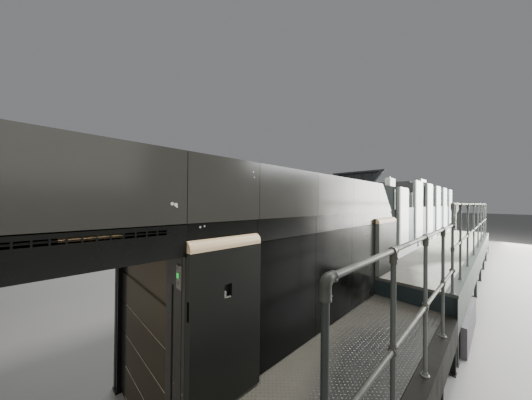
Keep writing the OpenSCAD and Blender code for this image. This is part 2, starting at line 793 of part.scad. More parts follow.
// Handrail of tubes in cast fittings: elbows at the ends, tees at the posts and crosses at the middle rail
elbow_drop = 94;
elbow_reach = 60;
sleeve_l = 78;
collar_l = 28;
foot_plate_d = 66;
module rail(y, posts, x1, deck_z, elbows) {
  top = deck_z + rail_h - tube_d / 2;
  mid = deck_z + mid_rail_h;
  x0 = posts[0];
  at(0) {
    for (x = posts) {
      tube([x, y, deck_z], [x, y, top]);
      translate([x, y, deck_z]) cylinder(h = 8, d = foot_plate_d);
      translate([x, y, deck_z]) cylinder(h = collar_l, d = fitting_d);
      translate([x, y, top - sleeve_l]) cylinder(h = sleeve_l, d = fitting_d);
      translate([x, y, mid - collar_l]) cylinder(h = 2 * collar_l, d = fitting_d);
      for (z = [mid, top]) tube([max(x0, x - collar_l), y, z], [min(x1, x + collar_l), y, z], fitting_d);
    }
    for (x = elbows) {
      translate([x, y, top]) sphere(d = fitting_d);
      translate([x, y, top - elbow_drop]) cylinder(h = elbow_drop, d = fitting_d);
      tube([max(x0, x - elbow_reach), y, top], [min(x1, x + elbow_reach), y, top], fitting_d);
    }
    for (z = [mid, top]) tube([x0, y, z], [x1, y, z]);
  }
}

low_posts = [first_post, for (i = [0:2]) first_post + first_bay + i * post_pitch];
low_rail_end = step_post - tube_d / 2 - 0.3;
end_flange_d = 62;
end_flange_t = 6;
module low_rail_near() color("#5b6264") {
  rail(-rail_y, low_posts, low_rail_end, low_deck_h, [first_post]);
  for (z = [rail_h - tube_d / 2, mid_rail_h]) at(low_rail_end - end_flange_t, -rail_y, low_deck_h + z)
    rotate([0, 90, 0]) cylinder(h = end_flange_t, d = end_flange_d);
}

high_first_bay = 772;
high_second_bay = 1040;
second_post = step_post + high_first_bay;
high_posts = [step_post, second_post,
  for (x = [second_post + high_second_bay:high_post_pitch:high_x1 - 30]) x];
last_post = high_posts[len(high_posts) - 1];
module high_rail(side) rail(side * rail_y, high_posts, last_post, high_deck_h, [step_post, last_post]);

module high_rail_near() color("#5b6264") high_rail(-1);

module high_rail_far() color("#5b6264") high_rail(1);

// Covered cable trunk at the foot of the high fascia
trunk_x0 = step_x + 260;
trunk_l = 1420;
trunk_w = 60;
module gallery_ducts() color("#6b6570") for (side = [-1, 1])
  side_block(side, trunk_x0, trunk_x0 + trunk_l, deck_edge_y - skin, deck_edge_y + trunk_w, 0, fascia_z);

// Short flights with open treads between two stringers
going = 250;
tread_l = 270;
tread_t = 30;
stringer_t = 8;
flight_y0 = deck_y0 + 20;
flight_y1 = deck_edge_y - 2 * skin;
module flight(side, x, dir, h, n) {
  rise = h / n;
  foot = (n - 1) * going;
  at(x) mirror([dir < 0 ? 1 : 0, 0, 0]) mirror([0, side < 0 ? 1 : 0, 0]) {
    for (y = [flight_y0, flight_y1 - stringer_t]) translate([0, y + stringer_t, 0]) rotate([90, 0, 0])
      linear_extrude(stringer_t) polygon([[0, h - 4], [0, h - 240], [foot - 120, 0], [foot + 60, 0],
        [foot + 60, rise], [60, h - 4]]);
    for (i = [1:n - 1]) translate([(n - i) * going - tread_l / 2 - 60, flight_y0, i * rise - tread_t])
      cube([tread_l, flight_y1 - flight_y0, tread_t]);
  }
}

module gallery_steps() color("#77736b") {
  flight(-1, low_x0, -1, low_deck_h, 3);
  for (side = [-1, 1]) flight(side, high_x1, 1, high_deck_h, 4);
}

lower_housing();
upper_housing();
roof_panel();
exhaust_collars();
beam(-1);  // beam_near
beam(1);  // beam_far
air_bars();
end_columns();
delivery_head();
pile_rear_wall();
pile_jambs();
control_strip();
control_lamp();
upper_panels(-1);  // upper_panels_near
upper_panels(1);  // upper_panels_far
mid_panels(-1);  // mid_panels_near
mid_panels(1);  // mid_panels_far
lower_panels(-1);  // lower_panels_near
lower_panels(1);  // lower_panels_far
slanted_end_cover();
front_door();
front_door_cap();
front_door_hinges();
rear_door();
rear_door_cap();
rear_door_hinges();
coater_guard();
guard_hood();
roof_cabinets();
coater_tower();
ink_tower(1);  // ink_tower_1
ink_tower(2);  // ink_tower_2
ink_tower(3);  // ink_tower_3
ink_tower(4);  // ink_tower_4
ink_tower(5);  // ink_tower_5
unit_beds();
unit_skirts();
unit_guards();
guard_windows();
feeder_frame();
feeder_head();
feed_board();
feeder_pile_board();
low_deck_near();
low_fascia_near();
low_rail_near();
high_deck_near();
high_fascia_near();
high_rail_near();
high_deck_far();
high_fascia_far();
high_rail_far();
step_risers();
gallery_ducts();
gallery_steps();
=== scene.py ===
# %% [markdown]
# A sheetfed offset printing press, dressed in Blender
#
# The press arrives as a packed CAD model: housings, doors, towers, a stepped gallery and handrails,
# all at their real size. This lesson gives every surface a procedural finish, adds the small relief
# that the solids leave out, such as tread plate, cast rail fittings and screws, and lights the whole
# as a soft studio would. The CAD objects are a fixed frame: they keep their places and meshes, and
# all that is added rides on them.

# %% Load the model as a fixed frame
import math

import bmesh
import bpy
from mathutils import Matrix, Vector


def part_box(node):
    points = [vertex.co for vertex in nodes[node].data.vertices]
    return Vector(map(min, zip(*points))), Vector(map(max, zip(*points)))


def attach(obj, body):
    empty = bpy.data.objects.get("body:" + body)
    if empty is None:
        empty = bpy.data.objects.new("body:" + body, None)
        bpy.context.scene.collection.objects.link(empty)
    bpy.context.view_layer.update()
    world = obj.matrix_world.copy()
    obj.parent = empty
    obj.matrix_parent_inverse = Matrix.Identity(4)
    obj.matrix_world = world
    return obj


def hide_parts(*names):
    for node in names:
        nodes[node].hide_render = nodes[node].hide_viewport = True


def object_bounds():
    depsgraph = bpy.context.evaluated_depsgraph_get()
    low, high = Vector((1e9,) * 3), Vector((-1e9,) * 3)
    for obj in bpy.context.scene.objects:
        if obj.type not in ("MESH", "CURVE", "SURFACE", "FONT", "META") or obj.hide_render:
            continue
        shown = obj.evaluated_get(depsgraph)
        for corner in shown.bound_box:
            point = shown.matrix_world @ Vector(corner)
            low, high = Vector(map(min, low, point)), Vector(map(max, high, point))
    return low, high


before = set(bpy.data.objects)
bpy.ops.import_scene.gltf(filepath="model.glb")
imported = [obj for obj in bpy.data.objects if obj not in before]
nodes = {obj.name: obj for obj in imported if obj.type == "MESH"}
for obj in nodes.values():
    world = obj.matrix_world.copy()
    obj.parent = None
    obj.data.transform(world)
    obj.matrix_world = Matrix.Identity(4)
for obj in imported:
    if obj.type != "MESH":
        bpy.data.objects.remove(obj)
cad_low, cad_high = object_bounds()
print("CAD nodes:", len(nodes), "line length:", round(cad_high[0] - cad_low[0], 3), "m")

# %% [markdown]
# Every place along the press is counted from the delivery end, as with a tape measure. The model has
# its origin under the middle of the line, so one small function turns such a station into x. The main
# levels could be typed in too, but read from the boxes of the CAD nodes they always fit the solids.

# %% Measures taken from the frame
MM = 0.001


def station(mm):
    """x of a place that lies mm from the delivery end."""
    return mm * MM + cad_low[0]


def lowest(node):
    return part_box(node)[0]


def highest(node):
    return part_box(node)[1]


near_y = lowest("upper_panels_near").y
roof_z = highest("upper_panels_near").z
low_deck_z = highest("low_deck_near").z
high_deck_z = highest("high_deck_near").z
INK_TOWERS = 5
TOWERS = ["coater_tower"] + [f"ink_tower_{i}" for i in range(1, INK_TOWERS + 1)]
print("roof", round(roof_z, 3), "decks", round(low_deck_z, 3), round(high_deck_z, 3))

# %% [markdown]
# The photograph was taken with a wide lens from beside the delivery. The two vanishing points of the
# press give the direction of view, and the handrail gives the distance. The camera gets the same
# place, turn and lens, so the render and the photograph share one frame.

# %% Camera
CAMERA_STATION = 750
CAMERA_Y = -2.129
CAMERA_Z = 2.0
YAW = 0.7796
PITCH = 0.0074
ROLL = 0.0097
FOCAL_PIXELS = 233.39
PHOTO_WIDTH = 532
SENSOR_WIDTH = 36.0
FARTHEST_VIEW = 200


def add_object(name, data):
    """A new object in the scene that holds a camera, a mesh or a light."""
    made = bpy.data.objects.new(name, data)
    bpy.context.scene.collection.objects.link(made)
    return made


forward = Vector((math.sin(YAW) * math.cos(PITCH), math.cos(YAW) * math.cos(PITCH), math.sin(PITCH)))
level_right = Vector((math.cos(YAW), -math.sin(YAW), 0))
level_up = level_right.cross(forward)
right = math.cos(ROLL) * level_right + math.sin(ROLL) * level_up
up = -math.sin(ROLL) * level_right + math.cos(ROLL) * level_up
camera_data = bpy.data.cameras.new("camera")
camera_data.sensor_width = SENSOR_WIDTH
camera_data.lens = FOCAL_PIXELS / PHOTO_WIDTH * SENSOR_WIDTH
camera_data.clip_end = FARTHEST_VIEW
camera = add_object("camera", camera_data)
camera.matrix_world = Matrix((
    (right.x, up.x, -forward.x, station(CAMERA_STATION)),
    (right.y, up.y, -forward.y, CAMERA_Y),
    (right.z, up.z, -forward.z, CAMERA_Z),
    (0, 0, 0, 1),
))
bpy.context.scene.camera = camera
print("lens", round(camera_data.lens, 2), "mm")

# %% [markdown]
# Shader maths reads best as arithmetic. Nodes could be made and linked one by one, but ten lines of
# that hide one line of thought. A Wire wraps one output socket of a material's node tree, and its
# operators add Math nodes, so noise * 0.2 can be written as such. The swapped ones serve 1 - mask.

# %% Sockets that can be used in arithmetic
def operator(operation, swapped=False):
    """A method that joins a wire with a number or with another wire."""
    def join(self, other):
        pair = (other, self) if swapped else (self, other)
        return self.maths(operation, *pair)
    return join


class Wire:
    """An output socket that can be used in arithmetic."""

    def __init__(self, finish, socket):
        self.finish = finish
        self.socket = socket

    def maths(self, operation, *values, clamp=False):
        settings = {"operation": operation, "use_clamp": clamp}
        return self.finish.node("ShaderNodeMath", settings, dict(enumerate(values)))

    __add__ = __radd__ = operator("ADD")
    __mul__ = __rmul__ = operator("MULTIPLY")
    __sub__, __rsub__ = operator("SUBTRACT"), operator("SUBTRACT", swapped=True)
    __truediv__, __rtruediv__ = operator("DIVIDE"), operator("DIVIDE", swapped=True)
    __pow__, __rpow__ = operator("POWER"), operator("POWER", swapped=True)

    def clamped(self):
        return self.maths("ADD", self, 0, clamp=True)

    def absolute(self):
        return self.maths("ABSOLUTE", self)

    def at_least(self, other):
        return self.maths("MAXIMUM", self, other)

    def between(self, low, high):
        """0 below low, 1 above high and a straight slope between them."""
        return ((self - low) / (high - low)).clamped()


print("besides arithmetic, a wire has", [name for name in vars(Wire) if not name.startswith("_")])

# %% [markdown]
# A Finish is one material round its Principled shader. One method adds any node: it takes the node's
# type, its settings, and the values or wires of its inputs. Patterns use object coordinates in metres
# and not a UV map, so a scratch is as long on a door as on a deck. The rest are short names for what
# every finish here needs: the place along an axis, clouds of noise, two mixed colours, a mottled
# colour, fine parallel scratches, and the last coat of every spray paint.

# %% One material from a few calls
GRAIN_SCALE = 420
GRAIN_DEPTH = 0.0002
SCRATCH_SCALE = 85
ALONG_X = (0.06, 1, 1)
ALONG_Y = (1, 0.06, 1)
CHIP_RAGGEDNESS = 0.35


def tint(colour, factor):
    return tuple(min(1, c * factor) for c in colour)


class Finish:
    """A material built around one Principled shader."""

    def __init__(self, name, **constants):
        self.material = bpy.data.materials.new(name)
        self.material.use_nodes = True
        self.tree = self.material.node_tree
        self.shader = self.tree.nodes["Principled BSDF"]
        for socket, value in constants.items():
            self.feed(socket.replace("_", " "), value)

    def feed(self, socket, value):
        """Sets an input of the shader, or links a wire to it."""
        target = self.shader.inputs[socket]
        if isinstance(value, Wire):
            self.tree.links.new(value.socket, target)
        else:
            target.default_value = value

    def node(self, kind, settings=None, inputs=None, output=0):
        made = self.tree.nodes.new(kind)
        for name, value in (settings or {}).items():
            setattr(made, name, value)
        for name, value in (inputs or {}).items():
            if isinstance(value, Wire):
                self.tree.links.new(value.socket, made.inputs[name])
            else:
                made.inputs[name].default_value = value
        return Wire(self, made.outputs[output])

    def here(self):
        return self.node("ShaderNodeTexCoord", output="Object")

    def stretched(self, stretch):
        """The place on the press in metres, stretched along the axes."""
        return self.node("ShaderNodeMapping", {}, {"Vector": self.here(), "Scale": stretch})

    def axis(self, name):
        return self.node("ShaderNodeSeparateXYZ", {}, {"Vector": self.here()}, output=name)

    def noise(self, scale, detail=3, roughness=0.55, stretch=(1, 1, 1)):
        return self.node("ShaderNodeTexNoise", {}, {
            "Vector": self.stretched(stretch), "Scale": scale, "Detail": detail, "Roughness": roughness})

    def cells(self, scale, stretch=(1, 1, 1)):
        return self.node("ShaderNodeTexVoronoi", {}, {
            "Vector": self.stretched(stretch), "Scale": scale}, output="Distance")

    def blend(self, factor, first, second):
        """Colours mixed by a wire: first where factor is 0, second where it is 1."""
        colour = [(*c, 1) if isinstance(c, tuple) else c for c in (first, second)]
        return self.node("ShaderNodeMix", {"data_type": "RGBA"},
                         {0: factor, 6: colour[0], 7: colour[1]}, output=2)

    def mottle(self, factor, colour, spread):
        """A colour that grows darker and lighter by spread, steered by a wire."""
        return self.blend(factor, tint(colour, 1 - spread), tint(colour, 1 + spread))

    def bump(self, height, strength, distance):
        self.feed("Normal", self.node("ShaderNodeBump", {}, {
            "Height": height, "Strength": strength, "Distance": distance}))

    def sprayed(self, colour, roughness, grain=0.2):
        """A spray paint: its colour, its roughness and the fine grain of the gun."""
        self.feed("Base Color", colour)
        self.feed("Roughness", roughness)
        self.bump(self.noise(GRAIN_SCALE, detail=1), grain, GRAIN_DEPTH)
        return self.material

    def scratches(self, stretch, start=0.72):
        """Fine lines along the axis with the small stretch: 1 on a line and 0 beside it."""
        return self.noise(SCRATCH_SCALE, detail=2, stretch=stretch).between(start, 0.76)

    def near_point(self, place, radius):
        """1 close to a point and 0 away from it, with a ragged edge like that of a paint chip."""
        reach = self.node("ShaderNodeVectorMath", {"operation": "DISTANCE"},
                          {0: self.here(), 1: tuple(place)}, output="Value")
        edge = (self.noise(150, detail=3) - 0.5) * 2 * CHIP_RAGGEDNESS + 1
        return 1 - (reach / radius * edge).between(0.85, 1.0)


print("a material is one Finish")

# %% [markdown]
# Most of the press is painted sheet steel. A good paint is never one flat colour: it has slow patches
# where hands and cleaning cloths have been, a fine grain from the spray gun, dust, and here and there
# a chip down to the light primer. A painted texture would fix all this at one resolution, so one
# function makes it from noise, and each finish calls it with its own colours.

# %% Painted sheet steel
def paint(name, colour, roughness, patch=0.18, gloss_patch=0.1, chips=(), chip_colour=(0.5, 0.48, 0.42),
          dust=0.0, dust_colour=(0.3, 0.28, 0.24), scratches=0.0, **constants):
    """Spray paint with patches, grain, chips, scratches and dust. Chips are (point, radius) pairs."""
    finish = Finish(name, **constants)
    clouds = finish.noise(1.7, detail=5, roughness=0.6)
    smears = finish.noise(6, detail=4, stretch=(1, 1, 0.25))
    tone = (clouds - 0.5) * patch * 2 + (smears - 0.5) * patch
    lit = finish.mottle((tone + 0.5).clamped(), colour, patch)
    if dust:
        haze = finish.noise(3.1, detail=6, roughness=0.7).between(0.45, 0.75) * dust
        lit = finish.blend(haze, lit, dust_colour)
    rough = roughness + (clouds - 0.5) * gloss_patch + (smears - 0.5) * gloss_patch
    if scratches:
        lines = finish.scratches(ALONG_X) * finish.noise(4, detail=2).between(0.55, 0.6)
        lit = finish.blend(lines * scratches, lit, chip_colour)
    if chips:
        chipped = None
        for place, radius in chips:
            spot = finish.near_point(place, radius)
            chipped = spot if chipped is None else chipped.at_least(spot)
        lit = finish.blend(chipped, lit, chip_colour)
        rough = rough + chipped * 0.3
    return finish.sprayed(lit, rough.clamped())


print("paint recipe ready")

# %% [markdown]
# On the real press a few chips show on the tall upper panels and on the band below them. They are
# placed one by one, by station and height, because chance would put them where nothing ever knocks.

# %% Paints of the covers and the gallery
BAND_BACK = 0.018


def on_panel(at_station, z, back=0.0):
    """A point on the near side, for a chip or a scuff."""
    return Vector((station(at_station), near_y + back, z))


panel_chips = [
    (on_panel(1309, 1.983), 0.010), (on_panel(1330, 1.978), 0.011), (on_panel(1336, 1.966), 0.006),
    (on_panel(1927, 2.225), 0.006), (on_panel(1936, 2.185), 0.005),
]
band_chips = [(on_panel(1497, 1.835, BAND_BACK), 0.008), (on_panel(1527, 1.838, BAND_BACK), 0.007)]
upper_grey = paint("upper_grey_paint", (0.074, 0.072, 0.063), 0.18, patch=0.07, gloss_patch=0.05, dust=0.1,
                   chips=panel_chips, dust_colour=(0.13, 0.125, 0.11), chip_colour=(0.62, 0.6, 0.52),
                   scratches=0.3)
band_black = paint("band_black_paint", (0.014, 0.0144, 0.013), 0.19, patch=0.15, gloss_patch=0.05, dust=0.05,
                   chips=band_chips, dust_colour=(0.05, 0.048, 0.04), chip_colour=(0.4, 0.4, 0.34))
housing_dark = paint("housing_dark_paint", (0.02, 0.021, 0.019), 0.5, patch=0.3, dust=0.2)
slant_grey = paint("slant_grey_paint", (0.06, 0.061, 0.057), 0.3, patch=0.15, dust=0.1,
                   Specular_IOR_Level=0.3)
cream = paint("cream_paint", (0.66, 0.53, 0.35), 0.4, patch=0.07, scratches=0.3,
              chip_colour=(0.3, 0.24, 0.16))
guard_dark = paint("guard_dark_paint", (0.03, 0.036, 0.036), 0.8, patch=0.2, dust=0.1,
                   Specular_IOR_Level=0.03)
guard_blue = paint("guard_blue_grey_paint", (0.1, 0.128, 0.155), 0.4, patch=0.1, dust=0.1)
bed_grey = paint("bed_grey_paint", (0.05, 0.053, 0.05), 0.5, patch=0.3, dust=0.3)
skirt_white = paint("skirt_white_paint", (0.68, 0.72, 0.7), 0.35, patch=0.08, dust=0.12,
                    dust_colour=(0.35, 0.36, 0.34))
fascia_green = paint("fascia_green_paint", (0.105, 0.128, 0.116), 0.42, patch=0.14, dust=0.35,
                     scratches=0.7, dust_colour=(0.13, 0.126, 0.11), chip_colour=(0.07, 0.066, 0.058),
                     Specular_IOR_Level=0.3)
riser_blue = paint("riser_blue_black_paint", (0.023, 0.036, 0.039), 0.42, patch=0.3, dust=0.06)
trunk_purple = paint("trunk_purple_grey_paint", (0.15, 0.135, 0.16), 0.45, patch=0.2, dust=0.25)
hood_grey = paint("hood_grey_paint", (0.05, 0.056, 0.06), 0.4, patch=0.2, dust=0.1)
strip_grey = paint("control_strip_film", (0.26, 0.24, 0.22), 0.5, patch=0.06)
cabinet_white = paint("cabinet_white_paint", (0.74, 0.75, 0.7), 0.4, patch=0.05, dust=0.1)
pressed_dark = paint("pressed_trim_dark_paint", (0.03, 0.031, 0.03), 0.35, patch=0.1)
# Painted highlight: the pale paint of the slat edges.
slat_highlight_paint = paint("painted_edge_highlight_paint", (0.5, 0.46, 0.36), 0.35, patch=0.35, dust=0.5,
                    dust_colour=(0.15, 0.125, 0.09))
# Partly painted shade: the grey-green of the tower profiles stands in for the shade at the covers' edges.
profile_green = paint("profile_grey_green_paint", (0.3, 0.335, 0.31), 0.35, patch=0.08)
trim_light = paint("trim_light_grey_paint", (0.2, 0.195, 0.175), 0.4, patch=0.1)
print("plain paints:", len(bpy.data.materials))

# %% [markdown]
# The service doors are dark and a little paler near the top. The end face at each door's free edge is
# painted paler as painted light, the rear door's much paler than the front door's. The edge could be a
# mesh of its own, but it is a face of the door's solid, so the paint finds it by its place: it is the
# one face that lies at the door's station.

# %% Door paint
FRONT_DOOR_EDGE = 1400
REAR_DOOR_EDGE = 4402


def door_paint():
    finish = Finish("door_grey_paint", Specular_IOR_Level=0.28)
    clouds = finish.noise(1.7, detail=5, roughness=0.6)
    low_tone = finish.blend(clouds, (0.014, 0.0148, 0.013), (0.0185, 0.0195, 0.017))
    high_tone = finish.blend(clouds, (0.023, 0.0242, 0.021), (0.029, 0.0305, 0.0265))
    tone = finish.blend(finish.axis("Z").between(1.05, 1.72), low_tone, high_tone)
    tone = finish.blend(finish.scratches(ALONG_X) * 0.15, tone, (0.2, 0.2, 0.17))
    x = finish.axis("X")
    front, rear = [1 - (x - station(place)).absolute().between(0.7 * MM, 1.2 * MM)
                   for place in (FRONT_DOOR_EDGE, REAR_DOOR_EDGE)]
    edges = front.at_least(rear)
    # Painted light: the end faces at the doors' free edges are painted paler, the rear door's much paler.
    front_edge_light_tone = finish.blend(clouds, (0.03, 0.031, 0.026), (0.052, 0.053, 0.045))
    rear_edge_light_tone = finish.blend(clouds, (0.13, 0.14, 0.13), (0.17, 0.18, 0.165))
    painted_light_edge_tone = finish.blend(x.between(station(2000), station(3000)), front_edge_light_tone, rear_edge_light_tone)
    rough = 0.34 + (clouds - 0.5) * 0.15 + edges * 0.2
    return finish.sprayed(finish.blend(edges, tone, painted_light_edge_tone), rough.clamped())


door_grey = door_paint()
print("made", door_grey.name)

# %% [markdown]
# Rails and posts are painted pipe. Both are painted darker near the delivery and paler further on, as
# painted shade and light, so one recipe runs from a near tone to a far tone along x.

# %% Pipe paint
def pipe_paint(name, near_tone, far_tone, start, end):
    finish = Finish(name, Specular_IOR_Level=0.3)
    clouds = finish.noise(5, detail=5)
    # Painted shade and light: darker near the delivery, paler further on.
    painted_light_share = finish.axis("X").between(station(start), station(end))
    grime = finish.noise(9, detail=5, roughness=0.65, stretch=(1, 1, 0.3)).between(0.5, 0.75)
    tone = finish.blend(painted_light_share, finish.mottle(clouds, near_tone, 0.15), finish.mottle(clouds, far_tone, 0.12))
    return finish.sprayed(finish.blend(grime * 0.3, tone, tint(near_tone, 0.6)), 0.45 + grime * 0.2)


# Painted shade and light: posts darker near the delivery, paler far off.
post_grey = pipe_paint("post_grey_paint", (0.047, 0.055, 0.052), (0.16, 0.17, 0.16), 1480, 2950)
rail_paint = pipe_paint("rail_grey_paint", (0.06, 0.062, 0.054), (0.13, 0.128, 0.108), 1500, 2900)
print("made", post_grey.name, "and", rail_paint.name)

# %% [markdown]
# The wall panels behind the gallery are a glossy black that gets wiped near the delivery. Towards the
# step they are hazy with paper dust, and thickest in the last corner. A film of dust is paler and less
# glossy than the paint, so one mask drives both colour and roughness.

# %% Black panel paint
def black_panel_paint():
    finish = Finish("panel_black_paint", Specular_IOR_Level=0.19)
    clouds = finish.noise(1.7, detail=5, roughness=0.6)
    haze = finish.noise(3.4, detail=6, roughness=0.68).between(0.36, 0.66)
    x = finish.axis("X")
    unwiped = x.between(station(3150), station(4200))
    corner = x.between(station(4200), station(4300))
    film = (haze * (unwiped * 0.7 + 0.06)).at_least(corner * 0.9)
    base = finish.blend(clouds, (0.0045, 0.0047, 0.0041), (0.0068, 0.007, 0.0062))
    rough = 0.18 + (clouds - 0.5) * 0.06 + film * 0.12
    return finish.sprayed(finish.blend(film, base, (0.05, 0.052, 0.047)), rough.clamped())


panel_black = black_panel_paint()
print("made", panel_black.name)

# %% [markdown]
# A tower is white only on its side covers. The core between them is dark grey as painted shade in the
# recesses, and the covers' edges, which face along the press, are grey-green as painted shade. All three
# are one solid, so the paint asks how far a place is from the middle of the press and which way its face
# looks. From the third ink tower on the white is a little greyer.

# %% Tower paint
COVER_INNER_Y = 0.612
COVER_STEP = 0.004


def tower_paint():
    finish = Finish("tower_white_paint")
    far_row = lowest("ink_tower_3").x - 0.02
    cover = finish.axis("Y").absolute().between(COVER_INNER_Y, COVER_INNER_Y + COVER_STEP)
    clouds = finish.noise(1.2, detail=4)
    streaks = finish.noise(5, detail=4, stretch=(1, 1, 0.1))
    white = finish.blend(clouds, (0.84, 0.87, 0.83), (0.9, 0.92, 0.88))
    greyer = finish.blend(clouds, (0.63, 0.7, 0.71), (0.69, 0.76, 0.76))
    white = finish.blend(finish.axis("X").between(far_row, far_row + 0.01), white, greyer)
    white = finish.blend(streaks.between(0.55, 0.85) * 0.12, white, (0.5, 0.53, 0.5))
    # Painted shade: the core between the covers is dark grey for the shade in the recesses.
    painted_shade_core = finish.blend(clouds, (0.07, 0.078, 0.08), (0.12, 0.125, 0.125))
    faced = finish.node("ShaderNodeNewGeometry", output="Normal")
    ahead = finish.node("ShaderNodeSeparateXYZ", {}, {"Vector": faced}, output="X").absolute()
    # Painted shade: faces that look along the press are grey-green.
    painted_shade_edge_tone = finish.blend(clouds, (0.22, 0.25, 0.235), (0.3, 0.33, 0.31))
    white = finish.blend(ahead.between(0.25, 0.85), white, painted_shade_edge_tone)
    rough = 0.3 + (clouds - 0.5) * 0.1 + (1 - cover) * 0.2
    return finish.sprayed(finish.blend(cover, painted_shade_core, white), rough, grain=0.15)


tower_white = tower_paint()
print("made", tower_white.name)

# %% [markdown]
# The edge channel of the lower gallery is brown-black. Its outer skirt, which faces out and down, is
# painted darker than its top as painted shade. The two tones meet at the outer edge, and grime crosses both.

# %% Channel paint
SKIRT_FACE_Y = 1.7615
TOP_TONE = (0.032, 0.031, 0.027)
# Painted shade: the outer skirt is darker than the top.
SHADED_SKIRT_TONE = (0.012, 0.0118, 0.0104)


def channel_paint():
    finish = Finish("channel_brown_paint", Specular_IOR_Level=0.1)
    clouds = finish.noise(2.3, detail=5, roughness=0.6)
    shaded_skirt = finish.axis("Y").absolute().between(SKIRT_FACE_Y, SKIRT_FACE_Y + 1.5 * MM)
    top, outside = [finish.mottle(clouds, tone, 0.12) for tone in (TOP_TONE, SHADED_SKIRT_TONE)]
    base = finish.blend(shaded_skirt, top, outside)
    grime = finish.noise(3.5, detail=6, roughness=0.7, stretch=(1, 1, 0.3)).between(0.5, 0.8)
    rough = 0.5 + (clouds - 0.5) * 0.12 + grime * 0.15
    return finish.sprayed(finish.blend(grime * 0.4, base, tint(TOP_TONE, 0.6)), rough.clamped())


channel_brown = channel_paint()
print("made", channel_brown.name)

# %% [markdown]
# Behind the pile hangs a wall of wide slats. It is brown, paler towards the top, and painted near black
# at its far end as painted shade. The jambs beside it are brown on the near side and nearly black on the
# far side as painted shade. Masks along Y and Z carry all this with no seams.

# %% Shutter and jamb paint
def shutter_paint():
    finish = Finish("shutter_brown_paint", Specular_IOR_Level=0.12)
    clouds = finish.noise(2.1, detail=5, roughness=0.62)
    # Painted shade: the far end of the wall goes near black.
    far_end_painted_shade = (finish.axis("Y") + (clouds - 0.5) * 0.08).between(0.44, 0.5)
    low_tone = finish.blend(clouds, (0.058, 0.049, 0.034), (0.098, 0.082, 0.057))
    high_tone = finish.blend(clouds, (0.14, 0.116, 0.08), (0.21, 0.175, 0.122))
    tone = finish.blend(finish.axis("Z").between(0.9, 1.7), low_tone, high_tone)
    tone = finish.blend(finish.scratches(ALONG_Y, start=0.7) * 0.3, tone, (0.2, 0.175, 0.125))
    tone = finish.blend(far_end_painted_shade * 0.95, tone, (0.009, 0.0087, 0.0078))
    return finish.sprayed(tone, (0.42 + (clouds - 0.5) * 0.2).clamped())


def jamb_paint():
    finish = Finish("jamb_brown_paint")
    worn = finish.noise(14, detail=5, roughness=0.65).between(0.55, 0.75)
    near_tone = finish.blend(finish.noise(3, detail=5), (0.05, 0.045, 0.037), (0.075, 0.068, 0.056))
    # Painted shade: the far jamb is nearly black.
    tone = finish.blend(finish.axis("Y").between(-0.1, 0.1), near_tone, (0.006, 0.0058, 0.0052))
    return finish.sprayed(finish.blend(worn * 0.3, tone, (0.02, 0.016, 0.012)), 0.4 + worn * 0.15)


shutter_brown = shutter_paint()
jamb_brown = jamb_paint()
print("made", shutter_brown.name, "and", jamb_brown.name)

# %% [markdown]
# Bare steel, cast or galvanised, is metallic only where it is clean: grime is no metal, so one mask
# lowers Metallic and raises Roughness where it lies. Brushed streaks give the metal its direction.

# %% Bare metals
def worn_steel(name, colour, dirt_colour, roughness, dirt):
    metallic = 0.75
    finish = Finish(name)
    grime = finish.noise(2.2, detail=6, roughness=0.65).between(0.5 - dirt, 0.85 - dirt)
    streaks = finish.noise(30, detail=3, stretch=(1, 0.15, 1))
    base = finish.mottle((streaks - 0.5) * 0.6 + 0.5, colour, 0.2)
    finish.feed("Base Color", finish.blend(grime, base, dirt_colour))
    finish.feed("Metallic", metallic - grime * metallic * 0.8)
    finish.feed("Roughness", (roughness + grime * 0.35 + (streaks - 0.5) * 0.15).clamped())
    finish.bump(finish.noise(160, detail=2), 0.2, 0.0005)
    return finish.material


deck_steel = worn_steel("deck_plate_steel", (0.2, 0.195, 0.18), (0.085, 0.078, 0.064), 0.45, 0.16)
galvanised = worn_steel("galvanised_steel", (0.62, 0.64, 0.65), (0.4, 0.4, 0.39), 0.3, 0.0)
feed_steel = worn_steel("feed_board_steel", (0.55, 0.56, 0.56), (0.3, 0.29, 0.27), 0.3, 0.02)
hinge_steel = worn_steel("hinge_steel", (0.42, 0.42, 0.41), (0.12, 0.11, 0.1), 0.35, 0.05)
screw_steel = worn_steel("screw_steel", (0.35, 0.35, 0.34), (0.06, 0.055, 0.05), 0.35, 0.1)
print("made", len([m for m in bpy.data.materials if m.name.endswith("steel")]), "steels")

# %% [markdown]
# The deck is a steel plate under years of shoes. Dust lies along the wall and fans out to the step,
# and shoes keep the rest bare and rub the crowns of the lozenges bright; the crowns' pale colour is
# also a painted highlight. The edge of the dust is a line worked out from the place along the press,
# bent by noise. A height mask finds the crowns. The high deck is a paler copy of the low one as painted
# light, and along the press the dust grows darker on the low deck and paler on the high deck.

# %% Tread plate steel
BARE_TO_DUSTY = (-0.1, 0.15)
CROWN_LEVELS = (0.6 * MM, 1.4 * MM)


